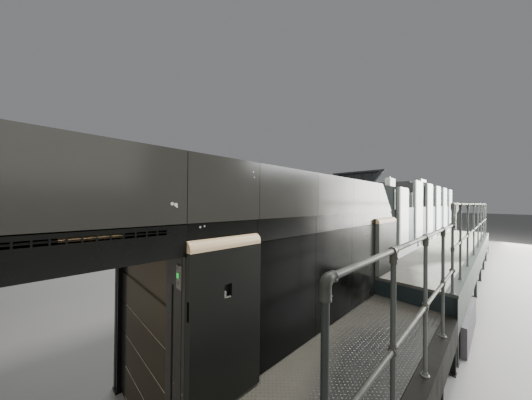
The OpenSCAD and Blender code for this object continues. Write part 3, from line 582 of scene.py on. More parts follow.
def tread_finish(name, level, fan, dirt_colour, plate_colour, crown_colour, far, shine):
    """Tread plate at a level. The dust fans out from a (station, y) point.

    Its tone changes by a share from one station to another, as painted light and shade: far is
    (share, first, last).
    """
    fan_station, fan_y = fan
    far_light_share, far_start, far_end = far
    finish = Finish(name, Specular_IOR_Level=shine)
    x = finish.axis("X")
    run = (x - station(fan_station)).at_least(0)
    back = (station(fan_station - 250) - x).at_least(0)
    edge = fan_y - 0.5 * run ** 1.5 - 0.3 * back
    wander = finish.noise(2.2, detail=6, roughness=0.65) - 0.5
    dusty = (finish.axis("Y") + wander * 0.16 - edge).between(*BARE_TO_DUSTY)
    crown = finish.axis("Z").between(level + CROWN_LEVELS[0], level + CROWN_LEVELS[1])
    blotch = finish.noise(7, detail=5, roughness=0.6)
    # Rubbed crowns: real wear, and their pale colour is also a painted highlight.
    bare = finish.blend(crown, finish.mottle(blotch, plate_colour, 0.3), crown_colour)
    near_dust = finish.mottle(blotch, dirt_colour, 0.15)
    # The dust's tone along the press carries painted light and shade.
    far_dust_and_light = finish.mottle(blotch, tint(dirt_colour, far_light_share), 0.2)
    dust = finish.blend(x.between(station(far_start), station(far_end)), near_dust, far_dust_and_light)
    rubbed_dust = finish.blend(crown, dust, tint(dirt_colour, 0.3))
    finish.feed("Base Color", finish.blend(dusty * 0.92, bare, rubbed_dust))
    finish.feed("Metallic", (1 - dusty) * (0.15 + crown * 0.5))
    finish.feed("Roughness", (0.42 + dusty * 0.25 + (blotch - 0.5) * 0.2 - crown * 0.1).clamped())
    finish.bump(finish.noise(210, detail=2), 0.2, 0.0005)
    return finish.material


low_tread_steel = tread_finish(
    "low_tread_steel", low_deck_z, (3000, -1.02), (0.122, 0.116, 0.095), (0.033, 0.034, 0.032),
    (0.24, 0.245, 0.23), far=(0.52, 2100, 3700), shine=0.5)
# Painted light: the high deck is a paler copy of the low deck's steel.
high_tread_steel_lit = tread_finish(
    "high_tread_steel_lit", high_deck_z, (5600, -1.15), (0.178, 0.175, 0.158), (0.5, 0.5, 0.47),
    (0.75, 0.75, 0.71), far=(3.5, 6900, 8400), shine=0.1)
print("made", low_tread_steel.name, "and", high_tread_steel_lit.name)

# %% [markdown]
# Behind the vent slots runs a pipe that is black but for one length of bright brass. Windows, the
# lamp's lens, wood and rubber are short recipes of their own. The lens glows by Emission, in a green
# deep enough that it doesn't wash out to white.

# %% Brass, glass, lamp, wood and rubber
BRASS_STATIONS = (821, 1066)


def air_bar_metal():
    finish = Finish("air_bar_brass", Roughness=0.35)
    x = finish.axis("X")
    started, ended = [x.between(station(at), station(at + 4)) for at in BRASS_STATIONS]
    bright = started * (1 - ended)
    wear = finish.noise(30, detail=4, stretch=(0.2, 1, 1))
    metal = finish.blend(wear, (0.75, 0.52, 0.26), (0.95, 0.74, 0.46))
    finish.feed("Base Color", finish.blend(bright, (0.012, 0.012, 0.011), metal))
    finish.feed("Metallic", bright * 0.5)
    return finish.material


def tinted_window():
    finish = Finish("tinted_window", Roughness=0.08, Coat_Weight=0.6)
    smear = finish.noise(5, detail=4).between(0.4, 0.7)
    finish.feed("Base Color", finish.blend(smear, (0.012, 0.015, 0.018), (0.028, 0.033, 0.036)))
    return finish.material


def lamp_lens():
    finish = Finish("green_lamp_lens", Roughness=0.25, Emission_Strength=2.0)
    facets = finish.cells(180).clamped()
    finish.feed("Base Color", finish.blend(facets, (0.005, 0.3, 0.06), (0.01, 0.4, 0.09)))
    finish.feed("Emission Color", finish.blend(facets, (0.0, 0.24, 0.03), (0.004, 0.36, 0.06)))
    return finish.material


def pallet_wood():
    finish = Finish("pallet_wood", Roughness=0.75)
    grain = finish.noise(14, detail=6, stretch=(0.12, 1, 1))
    knots = finish.cells(5, stretch=(0.4, 1, 1)).between(0.02, 0.12)
    plank = finish.blend(grain.between(0.35, 0.65), (0.2, 0.13, 0.07), (0.42, 0.3, 0.17))
    finish.feed("Base Color", finish.blend(knots, (0.1, 0.06, 0.03), plank))
    finish.bump(grain, 0.5, 0.002)
    return finish.material


def soft_rubber():
    finish = Finish("sucker_rubber", Roughness=0.7)
    bloom = finish.noise(40, detail=3)
    finish.feed("Base Color", finish.blend(bloom, (0.02, 0.018, 0.016), (0.06, 0.05, 0.045)))
    return finish.material


brass = air_bar_metal()
window = tinted_window()
lens = lamp_lens()
wood = pallet_wood()
rubber = soft_rubber()
print("materials:", len(bpy.data.materials))

# %% [markdown]
# Each CAD node keeps its shape and takes its finish in its material slots. The table goes from the
# delivery to the feeder, so it doubles as a parts list.

# %% Finishes on the CAD nodes
DRESS = (
    (housing_dark, "lower_housing", "upper_housing", "roof_panel", "delivery_head"),
    (slant_grey, "slanted_end_cover"),
    (band_black, "beam_near", "beam_far", "mid_panels_near", "mid_panels_far", "end_columns"),
    (panel_black, "lower_panels_near", "lower_panels_far"),
    (upper_grey, "upper_panels_near", "upper_panels_far"),
    (shutter_brown, "pile_rear_wall"),
    (jamb_brown, "pile_jambs"),
    (strip_grey, "control_strip"),
    (lens, "control_lamp"),
    (brass, "air_bars"),
    (galvanised, "exhaust_collars"),
    (door_grey, "front_door", "rear_door"),
    (cream, "front_door_cap", "rear_door_cap"),
    (hinge_steel, "front_door_hinges", "rear_door_hinges"),
    (tower_white, *TOWERS),
    (guard_blue, "unit_guards"),
    (skirt_white, "unit_skirts", "feeder_head"),
    (cabinet_white, "roof_cabinets"),
    (window, "guard_windows"),
    (guard_dark, "coater_guard"),
    (hood_grey, "guard_hood"),
    (bed_grey, "unit_beds", "feeder_frame"),
    (feed_steel, "feed_board"),
    (wood, "feeder_pile_board"),
    (deck_steel, "low_deck_near", "high_deck_near", "high_deck_far"),
    (channel_brown, "low_fascia_near", "gallery_steps"),
    (fascia_green, "high_fascia_near", "high_fascia_far"),
    (riser_blue, "step_risers"),
    (trunk_purple, "gallery_ducts"),
    (rail_paint, "low_rail_near", "high_rail_near", "high_rail_far"),
)
for material, *names in DRESS:
    for name in names:
        nodes[name].data.materials.clear()
        nodes[name].data.materials.append(material)
print("undressed:", [name for name, node in nodes.items() if not node.data.materials])

# %% [markdown]
# No sheet metal has a perfectly sharp edge. A small bevel on the boxy nodes lets every edge catch a
# thin line of light. It is a modifier, so the CAD mesh below it stays as it was.

# %% Softened edges
BEVELS = (
    (1.2, "upper_panels_near", "upper_panels_far", "mid_panels_near", "mid_panels_far"),
    (1.2, "lower_panels_near", "lower_panels_far", "slanted_end_cover", "pile_jambs"),
    (2.5, "end_columns", "unit_skirts", "unit_guards", "coater_guard", "roof_cabinets"),
    (2.0, "low_fascia_near", "high_fascia_near", "high_fascia_far", "gallery_ducts", "delivery_head"),
)
for width, *names in BEVELS:
    for name in names:
        bevel = nodes[name].modifiers.new("softened edge", "BEVEL")
        bevel.width = width * MM
        bevel.segments = 2
        bevel.limit_method = "ANGLE"
        bevel.angle_limit = math.radians(50)
print("softened nodes:", len([node for node in nodes.values() if node.modifiers]))

# %% [markdown]
# Small pieces are built as plain lists of points and faces and turned into mesh objects in one place.
# A Batch gathers many like pieces, such as screws, into one mesh, because a thousand objects are slow
# and one mesh is not.

# %% A batch of small pieces
SMOOTH_BELOW = math.radians(40)


class Batch:
    """Points and faces of one mesh, gathered piece by piece."""

    def __init__(self):
        self.points = []
        self.faces = []

    def add(self, points, faces):
        first = len(self.points)
        self.points += [tuple(p) for p in points]
        self.faces += [tuple(first + i for i in face) for face in faces]

    def build(self, name, material, body="root", slot=None, smooth=False):
        mesh = bpy.data.meshes.new(name)
        mesh.from_pydata(self.points, [], self.faces)
        mesh.validate()
        shell = bmesh.new()
        shell.from_mesh(mesh)
        bmesh.ops.recalc_face_normals(shell, faces=shell.faces)
        shell.to_mesh(mesh)
        shell.free()
        mesh.materials.append(material)
        if smooth:
            mesh.shade_smooth()
            mesh.set_sharp_from_angle(angle=SMOOTH_BELOW)
        piece = add_object(name, mesh)
        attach(piece, body)
        print(f"{name}: {sum(len(face) - 2 for face in self.faces)} triangles")
        return piece


print("batch ready")

# %% [markdown]
# Pipes, castings, screws and suckers are all round, and all are rings of points joined by a skin. A
# sweep carries its ring along a path and turns it with the bends. A turned piece has a straight axis
# and a profile of (distance, radius) pairs, as on a lathe. Pairs in millimetres go through mm first.

# %% Round bars and turned pieces
def mm(*pairs):
    return [(a * MM, b * MM) for a, b in pairs]


def square_to(direction):
    """A unit vector square to a direction."""
    helper = Vector((0, 0, 1)) if abs(direction.z) < 0.9 else Vector((0, 1, 0))
    return direction.cross(helper).normalized()


def circle(middle, side, other, radius, sides):
    angles = [2 * math.pi * k / sides for k in range(sides)]
    return [middle + radius * (math.cos(a) * side + math.sin(a) * other) for a in angles]


def skin_rings(batch, rings):
    """Joins rings of points into one closed skin with a flat face at each end."""
    sides = len(rings[0])
    last = (len(rings) - 1) * sides
    faces = []
    for first in range(0, last, sides):
        for k in range(sides):
            a, b = first + k, first + (k + 1) % sides
            faces.append((a, b, b + sides, a + sides))
    faces += [tuple(reversed(range(sides))), tuple(range(last, last + sides))]
    batch.add([point for ring in rings for point in ring], faces)


def sweep(batch, path, radii, sides=20):
    """A round bar along a path: radii is one radius, or a list with one for each point."""
    path = [Vector(p) for p in path]
    if not isinstance(radii, list):
        radii = [radii] * len(path)
    rings = []
    side = None
    for i, (here, radius) in enumerate(zip(path, radii)):
        direction = (path[min(i + 1, len(path) - 1)] - path[max(i - 1, 0)]).normalized()
        side = side or square_to(direction)
        side = (side - direction * side.dot(direction)).normalized()
        rings.append(circle(here, side, direction.cross(side), radius, sides))
    skin_rings(batch, rings)


def turned(batch, start, direction, profile, sides=20):
    """A turned piece: profile holds (distance along the axis, radius) pairs in metres."""
    start, direction = Vector(start), Vector(direction).normalized()
    side = square_to(direction)
    other = direction.cross(side)
    skin_rings(batch, [circle(start + direction * t, side, other, radius, sides) for t, radius in profile])


print("round tools ready")

# %% [markdown]
# Screws come as two shapes. A stud is a low round head, and a bolt head is a short prism with a
# chamfered top. They start on or a little inside the face that they hold, so no gap shows under them.

# %% Screw heads
def studs(batch, points, direction, radius, height):
    """Round heads that stand on a surface."""
    for point in points:
        profile = [(-0.5 * MM, radius), (height * 0.6, radius), (height, radius * 0.7)]
        turned(batch, point, direction, profile, sides=10)


def bolt_head(batch, place, direction, radius, height, chamfer=1.0, sink=0.0):
    """A hexagon head: its radius, height, chamfer and sink are in millimetres."""
    profile = mm((-sink, radius), (height - chamfer, radius), (height, radius - chamfer))
    turned(batch, place, direction, profile, sides=6)


print("screw heads ready")

# %% [markdown]
# Flat trims and blades are boxes, but a cube's dead sharp edges give it away. Each corner is split
# into three points, one for each face that meets there, so faces, edge strips and corner triangles
# close into a box whose edges are cut at 45 degrees.

# %% Boxes with cut edges
def soft_box(batch, low, high, bevel):
    """A box whose edges are cut at 45 degrees by bevel."""
    low, high = Vector(low), Vector(high)
    middle = (low + high) / 2
    half = (high - low) / 2
    signs = [(a, b, c) for a in (-1, 1) for b in (-1, 1) for c in (-1, 1)]
    points = []
    index = {}
    for sign in signs:
        for axis in range(3):
            reach = [half[i] - (0 if i == axis else bevel) for i in range(3)]
            index[sign, axis] = len(points)
            points.append(middle + Vector(s * r for s, r in zip(sign, reach)))
    faces = []
    for axis in range(3):
        u, v = (axis + 1) % 3, (axis + 2) % 3

        def corner(s, su, sv, on):
            sign = [0, 0, 0]
            sign[axis], sign[u], sign[v] = s, su, sv
            return index[tuple(sign), on]

        for s in (-1, 1):
            ring = [corner(s, su, sv, axis) for su, sv in ((-1, -1), (1, -1), (1, 1), (-1, 1))]
            faces.append(ring if s > 0 else ring[::-1])
        for su in (-1, 1):
            for sv in (-1, 1):
                quad = [corner(s, su, sv, on) for s, on in ((-1, u), (1, u), (1, v), (-1, v))]
                faces.append(quad if su * sv > 0 else quad[::-1])
    for sign in signs:
        triple = [index[sign, 0], index[sign, 1], index[sign, 2]]
        faces.append(triple if math.prod(sign) > 0 else triple[::-1])
    batch.add(points, faces)


def side_box(batch, side, xs, ys, zs, bevel):
    """A soft box on one side of the press: side is -1 or 1, and ys are distances from the middle."""
    low_y, high_y = sorted((side * ys[0], side * ys[1]))
    soft_box(batch, (xs[0], low_y, zs[0]), (xs[1], high_y, zs[1]), bevel)


print("box tools ready")

# %% [markdown]
# The gallery is made of tread plate: a steel sheet with short raised lozenges rolled into it, which
# lean to the left and to the right in turn so that shoes grip in every direction. Bump alone would
# look flat at this low angle of view, so each lozenge is real. The sheet is one closed mesh of square
# cells, and every second cell, as on a chessboard, holds a lozenge: four plate corners, a rim of four
# points and a ridge of two, which makes fourteen triangles.

# %% One sheet of tread plate
TREAD_PITCH = 21.4 * MM
LOZENGE_REACH = 12.4 * MM
LOZENGE_HALF_WIDTH = 3.9 * MM
RIDGE_REACH = 7 * MM
LOZENGE_HEIGHT = 1.7 * MM
PLATE_TOP = 0.4 * MM
PLATE_BOTTOM = -3 * MM


def add_lozenge(points, faces, square, middle):
    """A lozenge inside a square of plate corners, along the diagonal from the first corner."""
    along = (Vector(points[square[0]]) - middle).normalized()
    across = Vector((-along.y, along.x, 0))
    lift = Vector((0, 0, LOZENGE_HEIGHT))
    rim = len(points)
    head, tail = rim + 4, rim + 5
    points += [middle + along * LOZENGE_REACH, middle + across * LOZENGE_HALF_WIDTH,
               middle - along * LOZENGE_REACH, middle - across * LOZENGE_HALF_WIDTH,
               middle + along * RIDGE_REACH + lift, middle - along * RIDGE_REACH + lift]
    faces += [(square[k], square[(k + 1) % 4], rim + (k + 1) % 4, rim + k) for k in range(4)]
    faces += [(rim, rim + 1, head), (rim + 1, rim + 2, tail), (rim + 2, rim + 3, tail),
              (rim + 3, rim, head), (rim + 1, tail, head), (rim + 3, head, tail)]


def tread_plate(name, x0, x1, y0, y1, z, material):
    columns = max(1, round((x1 - x0) / TREAD_PITCH))
    rows = max(1, round((y1 - y0) / TREAD_PITCH))
    step_x, step_y = (x1 - x0) / columns, (y1 - y0) / rows
    top = z + PLATE_TOP
    points = [(x0 + i * step_x, y0 + j * step_y, top) for i in range(columns + 1) for j in range(rows + 1)]
    faces = []
    for i in range(columns):
        for j in range(rows):
            corner = i * (rows + 1) + j
            square = [corner, corner + rows + 1, corner + rows + 2, corner + 1]
            if (i + j) % 2:
                faces.append(square)
                continue
            if j % 2:
                square = square[1:] + square[:1]
            middle = Vector((x0 + (i + 0.5) * step_x, y0 + (j + 0.5) * step_y, top))
            add_lozenge(points, faces, square, middle)
    foot = len(points)
    points += [(x, y, z + PLATE_BOTTOM) for x, y in ((x0, y0), (x1, y0), (x1, y1), (x0, y1))]
    first, last = range(rows + 1), range(columns * (rows + 1), (columns + 1) * (rows + 1))
    south, north = [range(j, last[j] + 1, rows + 1) for j in (0, rows)]
    faces += [(*reversed(south), foot, foot + 1), (*reversed(last), foot + 1, foot + 2),
              (*north, foot + 2, foot + 3), (*first, foot + 3, foot), (foot + 3, foot + 2, foot + 1, foot)]
    batch = Batch()
    batch.add(points, faces)
    batch.build(name, material, slot="deck_plate")


print("tread cells are", round(TREAD_PITCH / MM, 1), "mm wide")

# %% [markdown]
# The gallery is laid in plates of a little over a metre with a narrow gap between them, so that one
# can be lifted. The high deck is narrower beside the housing than beside the printing units, so it is
# cut in two runs where the units' beds begin, and a loop lays each run plate by plate.

# %% Lay the decks
PLATE_LENGTH = 1215 * MM
PLATE_GAP = 3 * MM
LOW_WALL_Y = 0.786
HIGH_WALL_Y = 0.764
FAR_WALL_Y = 0.8
BED_Y = 0.674
EDGE_LIP = 6 * MM
FIRST_PLATE = 1464
bed_x = lowest("unit_beds").x
deck_runs = [
    ("low_deck_near", -1, LOW_WALL_Y, station(FIRST_PLATE), highest("low_deck_near").x),
    ("high_deck_near", -1, HIGH_WALL_Y, lowest("high_deck_near").x + EDGE_LIP, bed_x),
    ("high_deck_near", -1, BED_Y, bed_x, highest("high_deck_near").x),
    ("high_deck_far", 1, FAR_WALL_Y, lowest("high_deck_far").x + EDGE_LIP, bed_x),
    ("high_deck_far", 1, BED_Y, bed_x, highest("high_deck_far").x),
]
plate_counts = {}
for node, side, wall, x0, x1 in deck_runs:
    low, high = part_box(node)
    outer = high.y if side > 0 else -low.y
    y0, y1 = sorted((side * wall, side * outer))
    tread_steel = low_tread_steel if node == "low_deck_near" else high_tread_steel_lit
    start = x0
    while start < x1 - PLATE_GAP:
        end = min(x1, start + PLATE_LENGTH)
        number = plate_counts[node] = plate_counts.get(node, 0) + 1
        name = f"{node.replace('deck', 'tread')}_{number}"
        tread_plate(name, start, end - PLATE_GAP, y0, y1, high.z, tread_steel)
        start = end
print("plates laid:", plate_counts)

# %% [markdown]
# The handrail is water pipe held in cast fittings with set screws, the kind that needs no welding. The
# CAD model has it as plain tubes, so here it is made again in full. Each mouth of a casting has a
# narrow lip, which catches the light. A tee or cross is a few sockets that meet in one point, and an
# elbow is a single sweep, because two sockets that met at a corner would show a seam.

# %% Castings of the handrail
TUBE_R = 15 * MM
CAST_R = 21.2 * MM
LIP_R = 22.2 * MM
CHAMFER = 1 * MM
SHOULDER = 1.5 * MM
MOUTH = 9 * MM
ELBOW_DROP = 74 * MM
ELBOW_REACH = 56 * MM
BEND_R = 21 * MM
BEND_STEPS = 8
ROUND_SIDES = 28


def casting(batch, start, direction, length, taper=0.0):
    """A socket of a fitting, from its middle out to its lipped mouth."""
    turned(batch, start, direction, [
        (0, CAST_R), (length * 0.35, CAST_R), (length - MOUTH, CAST_R - taper),
        (length - MOUTH + SHOULDER, LIP_R - taper), (length - CHAMFER, LIP_R - taper),
        (length, LIP_R - CHAMFER - taper), (length, TUBE_R - CHAMFER),
    ], sides=ROUND_SIDES)


def bend(corner, before, after, radius):
    """Points of a quarter turn at a corner, from direction before to direction after."""
    centre = corner - before * radius + after * radius
    angles = [math.pi / 2 * k / BEND_STEPS for k in range(BEND_STEPS + 1)]
    return [centre - after * radius * math.cos(a) + before * radius * math.sin(a) for a in angles]


def elbow(batch, crown, up, way):
    """One cast bend with a lipped mouth at each end."""
    lip = [(0.02 * MM, TUBE_R - CHAMFER), (0, LIP_R - CHAMFER), (-CHAMFER, LIP_R),
           (SHOULDER - MOUTH, LIP_R), (-MOUTH, CAST_R)]
    path = [(crown - up * (ELBOW_DROP + t), radius) for t, radius in lip]
    path += [(point, CAST_R) for point in bend(crown, up, way, BEND_R)]
    path += [(crown + way * (ELBOW_REACH + t), radius) for t, radius in reversed(lip)]
    sweep(batch, [point for point, _ in path], [radius for _, radius in path], sides=ROUND_SIDES)


print("castings are", round(2 * CAST_R / MM, 1), "mm thick on a tube of", round(2 * TUBE_R / MM), "mm")

# %% [markdown]
# A set screw sits in a small boss on its casting, and its socket is bright where a key has turned it.
# Each post stands in a round foot held by four screws, and the low rail ends in flanges on the first
# post of the high one. Castings and screws go to different batches, because they differ in finish.

# %% Screws, feet and flanges of the handrail
SCREW_R = 5 * MM
BOSS_SUNK = 2.5 * MM
FOOT_R = 33 * MM
FOOT_H = 28 * MM
FOOT_SCREW_INSET = 5 * MM
FLANGE_THICKNESS = 6 * MM
FLANGE_SCREW_REACH = 26 * MM


def set_screw(castings, screws, at, direction):
    """A boss on the casting with a hexagon-socket screw in it."""
    direction = Vector(direction).normalized()
    root = Vector(at) + direction * (CAST_R - BOSS_SUNK)
    turned(castings, root, direction, [
        (0, SCREW_R + 2 * MM), (3.4 * MM, SCREW_R + 1.4 * MM), (4 * MM, SCREW_R)])
    turned(screws, root, direction, [
        (3 * MM, SCREW_R - 0.6 * MM), (5 * MM, SCREW_R - 0.6 * MM), (5.6 * MM, SCREW_R - 1.4 * MM),
        (5.6 * MM, 2.7 * MM), (3.6 * MM, 2.7 * MM)], sides=12)


def rail_foot(castings, screws, spot):
    turned(castings, spot, (0, 0, 1), [
        (0, FOOT_R), (5 * MM, FOOT_R), (6.5 * MM, FOOT_R - 1.5 * MM), (8 * MM, CAST_R + 4 * MM),
        (12 * MM, CAST_R + 1 * MM), (FOOT_H - 3 * MM, CAST_R), (FOOT_H, CAST_R - CHAMFER),
        (FOOT_H, TUBE_R - CHAMFER),
    ], sides=ROUND_SIDES)
    reach = FOOT_R - FOOT_SCREW_INSET
    for k in range(4):
        angle = math.pi / 4 + k * math.pi / 2
        hold = Vector(spot) + Vector((math.cos(angle) * reach, math.sin(angle) * reach, 4 * MM))
        bolt_head(screws, hold, (0, 0, 1), 3.5, 4.2, chamfer=0.7)


def wall_flange(castings, screws, spot, back):
    """The round flange that ends the low rail against the next post."""
    turned(castings, spot, back, [
        (0, 31 * MM), (4.5 * MM, 31 * MM), (FLANGE_THICKNESS, 29.5 * MM),
        (FLANGE_THICKNESS, CAST_R + 3 * MM), (12 * MM, CAST_R + 0.5 * MM), (34 * MM, CAST_R),
        (36 * MM, TUBE_R - CHAMFER),
    ], sides=ROUND_SIDES)
    for side in (-1, 1):
        hold = Vector(spot) + back * FLANGE_THICKNESS + Vector((0, side * FLANGE_SCREW_REACH, 0))
        bolt_head(screws, hold, back, 4, 4)


print("foot", round(2 * FOOT_R / MM), "mm wide")

# %% [markdown]
# A rail is now a loop over its posts: an elbow where the top rail turns down, a tee at each other post,
# a cross at the middle rail and a foot on the deck. It replaces the plain tubes of the CAD model, which
# stay in the physics model. Posts are a piece of their own, with paint that is darker than the rails'
# near the delivery and paler far off, as painted shade and light.

# %% Handrails
TEE_DROP = 74 * MM
TEE_REACH = 28 * MM
CROSS_REACH = 25 * MM
SCREW_BACK = 16 * MM
RAIL_HEIGHT = 1126 * MM
MIDDLE_HEIGHT = 550 * MM
RAIL_Y = 1.697
LOW_POSTS = (1472, 2198, 2988, 3778)
HIGH_POSTS = (4440, 5212, 6252, 7542, 8832, 10122, 11412, 12702)
UP, DOWN = Vector((0, 0, 1)), Vector((0, 0, -1))
AHEAD, BACK = Vector((1, 0, 0)), Vector((-1, 0, 0))


def post_head(pipes, screws, crown, outward, way):
    """The fitting on top of a post: an elbow that turns one way, or a tee where way is None."""
    if way:
        elbow(pipes, crown, UP, way)
        set_screw(pipes, screws, crown + way * (ELBOW_REACH - SCREW_BACK), outward + DOWN * 0.3)
        set_screw(pipes, screws, crown + DOWN * BEND_R * 0.7, outward + way)
        set_screw(pipes, screws, crown + DOWN * (ELBOW_DROP - SCREW_BACK), outward + way)
        return
    casting(pipes, crown, DOWN, TEE_DROP, taper=0.5 * MM)
    set_screw(pipes, screws, crown + DOWN * (TEE_DROP - 2 * SCREW_BACK), outward)
    for arm in (AHEAD, BACK):
        casting(pipes, crown, arm, TEE_REACH)


def handrail(tag, node, y, posts, deck_z, last_x, elbows, cut_end=False):
    """A rail of pipe and castings along x at height RAIL_HEIGHT over the deck."""
    outward = Vector((0, math.copysign(1, y), 0))
    top = deck_z + RAIL_HEIGHT - TUBE_R
    middle = deck_z + MIDDLE_HEIGHT
    pipes, screws, stands = Batch(), Batch(), Batch()
    for z in (top, middle):
        sweep(pipes, [(posts[0], y, z), (last_x, y, z)], TUBE_R, sides=ROUND_SIDES)
    for x in posts:
        crown, cross = Vector((x, y, top)), Vector((x, y, middle))
        sweep(stands, [(x, y, deck_z), (x, y, top)], TUBE_R, sides=ROUND_SIDES)
        way = None
        if x in elbows:
            way = AHEAD if x == posts[0] else BACK
        post_head(pipes, screws, crown, outward, way)
        for arm in ((way,) if way else (AHEAD, BACK)) + (UP, DOWN):
            casting(pipes, cross, arm, CROSS_REACH)
        set_screw(pipes, screws, cross, outward)
        rail_foot(stands, screws, Vector((x, y, deck_z)))
    if cut_end:
        for z in (top, middle):
            wall_flange(pipes, screws, Vector((last_x, y, z)), BACK)
    piece = pipes.build(f"{tag}_handrail", rail_paint, slot="rail", smooth=True)
    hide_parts(node)
    stands.build(f"{tag}_rail_posts", post_grey, slot="rail", smooth=True)
    screws.build(f"{tag}_rail_screws", screw_steel, slot="rail", smooth=True)


low_posts = [station(s) for s in LOW_POSTS]
high_posts = [station(s) for s in HIGH_POSTS]
low_rail_end = high_posts[0] - TUBE_R - 0.3 * MM
handrail("low_near", "low_rail_near", -RAIL_Y, low_posts, low_deck_z, low_rail_end,
         low_posts[:1], cut_end=True)
for tag, y in (("near", -RAIL_Y), ("far", RAIL_Y)):
    handrail(f"high_{tag}", f"high_rail_{tag}", y, high_posts, high_deck_z, high_posts[-1],
             (high_posts[0], high_posts[-1]))

# %% [markdown]
# Trims, bezels, gaskets and vent frames are all rectangular rings. A ring could be four boxes, but
# those would overlap in the corners. One closed mesh of six loops of four points has clean mitres and
# a small chamfer on both of its front edges.

# %% Rectangular rings
def ring_frame(batch, corner, u, v, outward, band, depth):
    """A closed rectangular ring: corner and the vectors u and v are its outside, band its width."""
    corner, u, v, outward = Vector(corner), Vector(u), Vector(v), Vector(outward).normalized()
    along_u, along_v = u.normalized() * band, v.normalized() * band
    outside = [corner, corner + u, corner + u + v, corner + v]
    inside = [corner + along_u + along_v, corner + u - along_u + along_v,
              corner + u + v - along_u - along_v, corner + v + along_u - along_v]
    chamfer = min(band, depth) * 0.25
    steps = [(0, 0), (0, depth - chamfer), (chamfer, depth)]
    points = []
    for start, end, order in ((outside, inside, steps), (inside, outside, steps[::-1])):
        for shrink, lift in order:
            points += [a + (b - a) * shrink / band + outward * lift for a, b in zip(start, end)]
    faces = []
    for ring in range(6):
        here, there = ring * 4, (ring + 1) % 6 * 4
        for k in range(4):
            after = (k + 1) % 4
            faces.append((here + k, here + after, there + after, there + k))
    batch.add(points, faces)


print("ring tool ready")

# %% [markdown]
# Each slat of the shutter has a rounded lower edge, seen as a bright line, and its pale paint is a painted
# highlight. The edge of the top slat stays dull and keeps the shutter's paint. Thin round bars stand for
# the edges, and they end where the wall disappears in the black of the far side.

# %% Slat edges
SLAT_PITCH = 300
FIRST_SEAM = 73
SEAMS = 5
EDGE_R = 2.4 * MM
EDGE_START = 2 * MM
HIGHLIGHT_END_Y = 0.47
wall_low = lowest("pile_rear_wall")
slat_edge_highlights, top_edge = Batch(), Batch()
for k in range(SEAMS):
    z = (FIRST_SEAM + k * SLAT_PITCH) * MM + EDGE_R
    row = slat_edge_highlights if k < SEAMS - 1 else top_edge
    sweep(row, [(wall_low.x, wall_low.y + EDGE_START, z), (wall_low.x, HIGHLIGHT_END_Y, z)], EDGE_R, sides=10)
# Painted highlight: the lower slat edges are painted pale.
slat_edge_highlights.build("slat_edge_highlights", slat_highlight_paint, slot="pile_wall", smooth=True)
top_edge.build("top_slat_edge", shutter_brown, slot="pile_wall", smooth=True)

# %% [markdown]
# The front door's pull pocket is a square hole with a light lip at its left and lower side, where the
# pressed tray inside it shows. The rear door has a folded flange behind its free edge. Both pieces
# ride on their doors, so they swing with them.

# %% Door trims
POCKET_STATION = 1642
POCKET_WIDTH = 62 * MM
POCKET_BELOW_TOP = 331 * MM
POCKET_DEPTH = 26 * MM
LIP_HEIGHT = 7 * MM
RETURN_SKIN = 2 * MM
RETURN_REACH = 13 * MM
door_low, door_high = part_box("front_door")
pocket = Vector((station(POCKET_STATION), door_low.y, door_high.z - POCKET_BELOW_TOP))
pocket_low = pocket + Vector((0.5 * MM, 1 * MM, 0.5 * MM))
pocket_trim = Batch()
for width, height in ((POCKET_WIDTH * 0.3, POCKET_WIDTH * 0.78), (POCKET_WIDTH - 0.5 * MM, LIP_HEIGHT)):
    soft_box(pocket_trim, pocket_low, pocket + Vector((width, POCKET_DEPTH, height)), 2 * MM)
pocket_trim.build("pocket_trim", trim_light, body="front_door", slot="door")

rear_low, rear_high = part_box("rear_door")
rear_return = Batch()
soft_box(rear_return, (rear_low.x, rear_high.y - 2 * RETURN_SKIN, rear_low.z),
         (rear_low.x + RETURN_SKIN, rear_high.y + RETURN_REACH, rear_high.z), 0.3 * MM)
rear_return.build("rear_door_return", door_grey, body="rear_door", slot="door")

# %% [markdown]
# The cream cap over a door is a nosing bent from sheet. The CAD solid is open at both ends, so two thin
# plates close it. They follow the outline of its inside: a short upright front and a quarter round.

# %% Cap ends
CAP_SKIN = 4 * MM
CAP_LIP = 15 * MM
CAP_STEPS = 10
END_THICKNESS = 3 * MM
END_INSET = 1 * MM
OVERLAP = 0.5 * MM


def cap_ends(name, node, body):
    low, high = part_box(node)
    deep = high.y - low.y - CAP_SKIN + OVERLAP
    radius = high.z - low.z - CAP_LIP - CAP_SKIN + OVERLAP
    foot = low.z + CAP_SKIN - OVERLAP
    outline = [(deep, foot), (deep - radius, foot)]
    for k in range(CAP_STEPS + 1):
        angle = math.pi / 2 * k / CAP_STEPS
        outline.append((deep - radius * math.cos(angle), low.z + CAP_LIP + radius * math.sin(angle)))
    count = len(outline)
    plates = Batch()
    for x in (low.x + END_INSET, high.x - END_INSET - END_THICKNESS):
        points = [(x + shift, low.y + y, z) for shift in (0, END_THICKNESS) for y, z in outline]
        faces = [(k, (k + 1) % count, count + (k + 1) % count, count + k) for k in range(count)]
        faces += [tuple(range(count)), tuple(range(count, 2 * count))]
        plates.add(points, faces)
    plates.build(name, cream, body=body, slot="cap")


cap_ends("front_cap_ends", "front_door_cap", "front_door")
cap_ends("rear_cap_ends", "rear_door_cap", "rear_door")

# %% [markdown]
# The control strip beside the pile has a thin rim, two round keys and a green lamp. The lamp could be
# a glowing face, but it is seen from the side too, so it is a raised block with cut edges in a bezel.

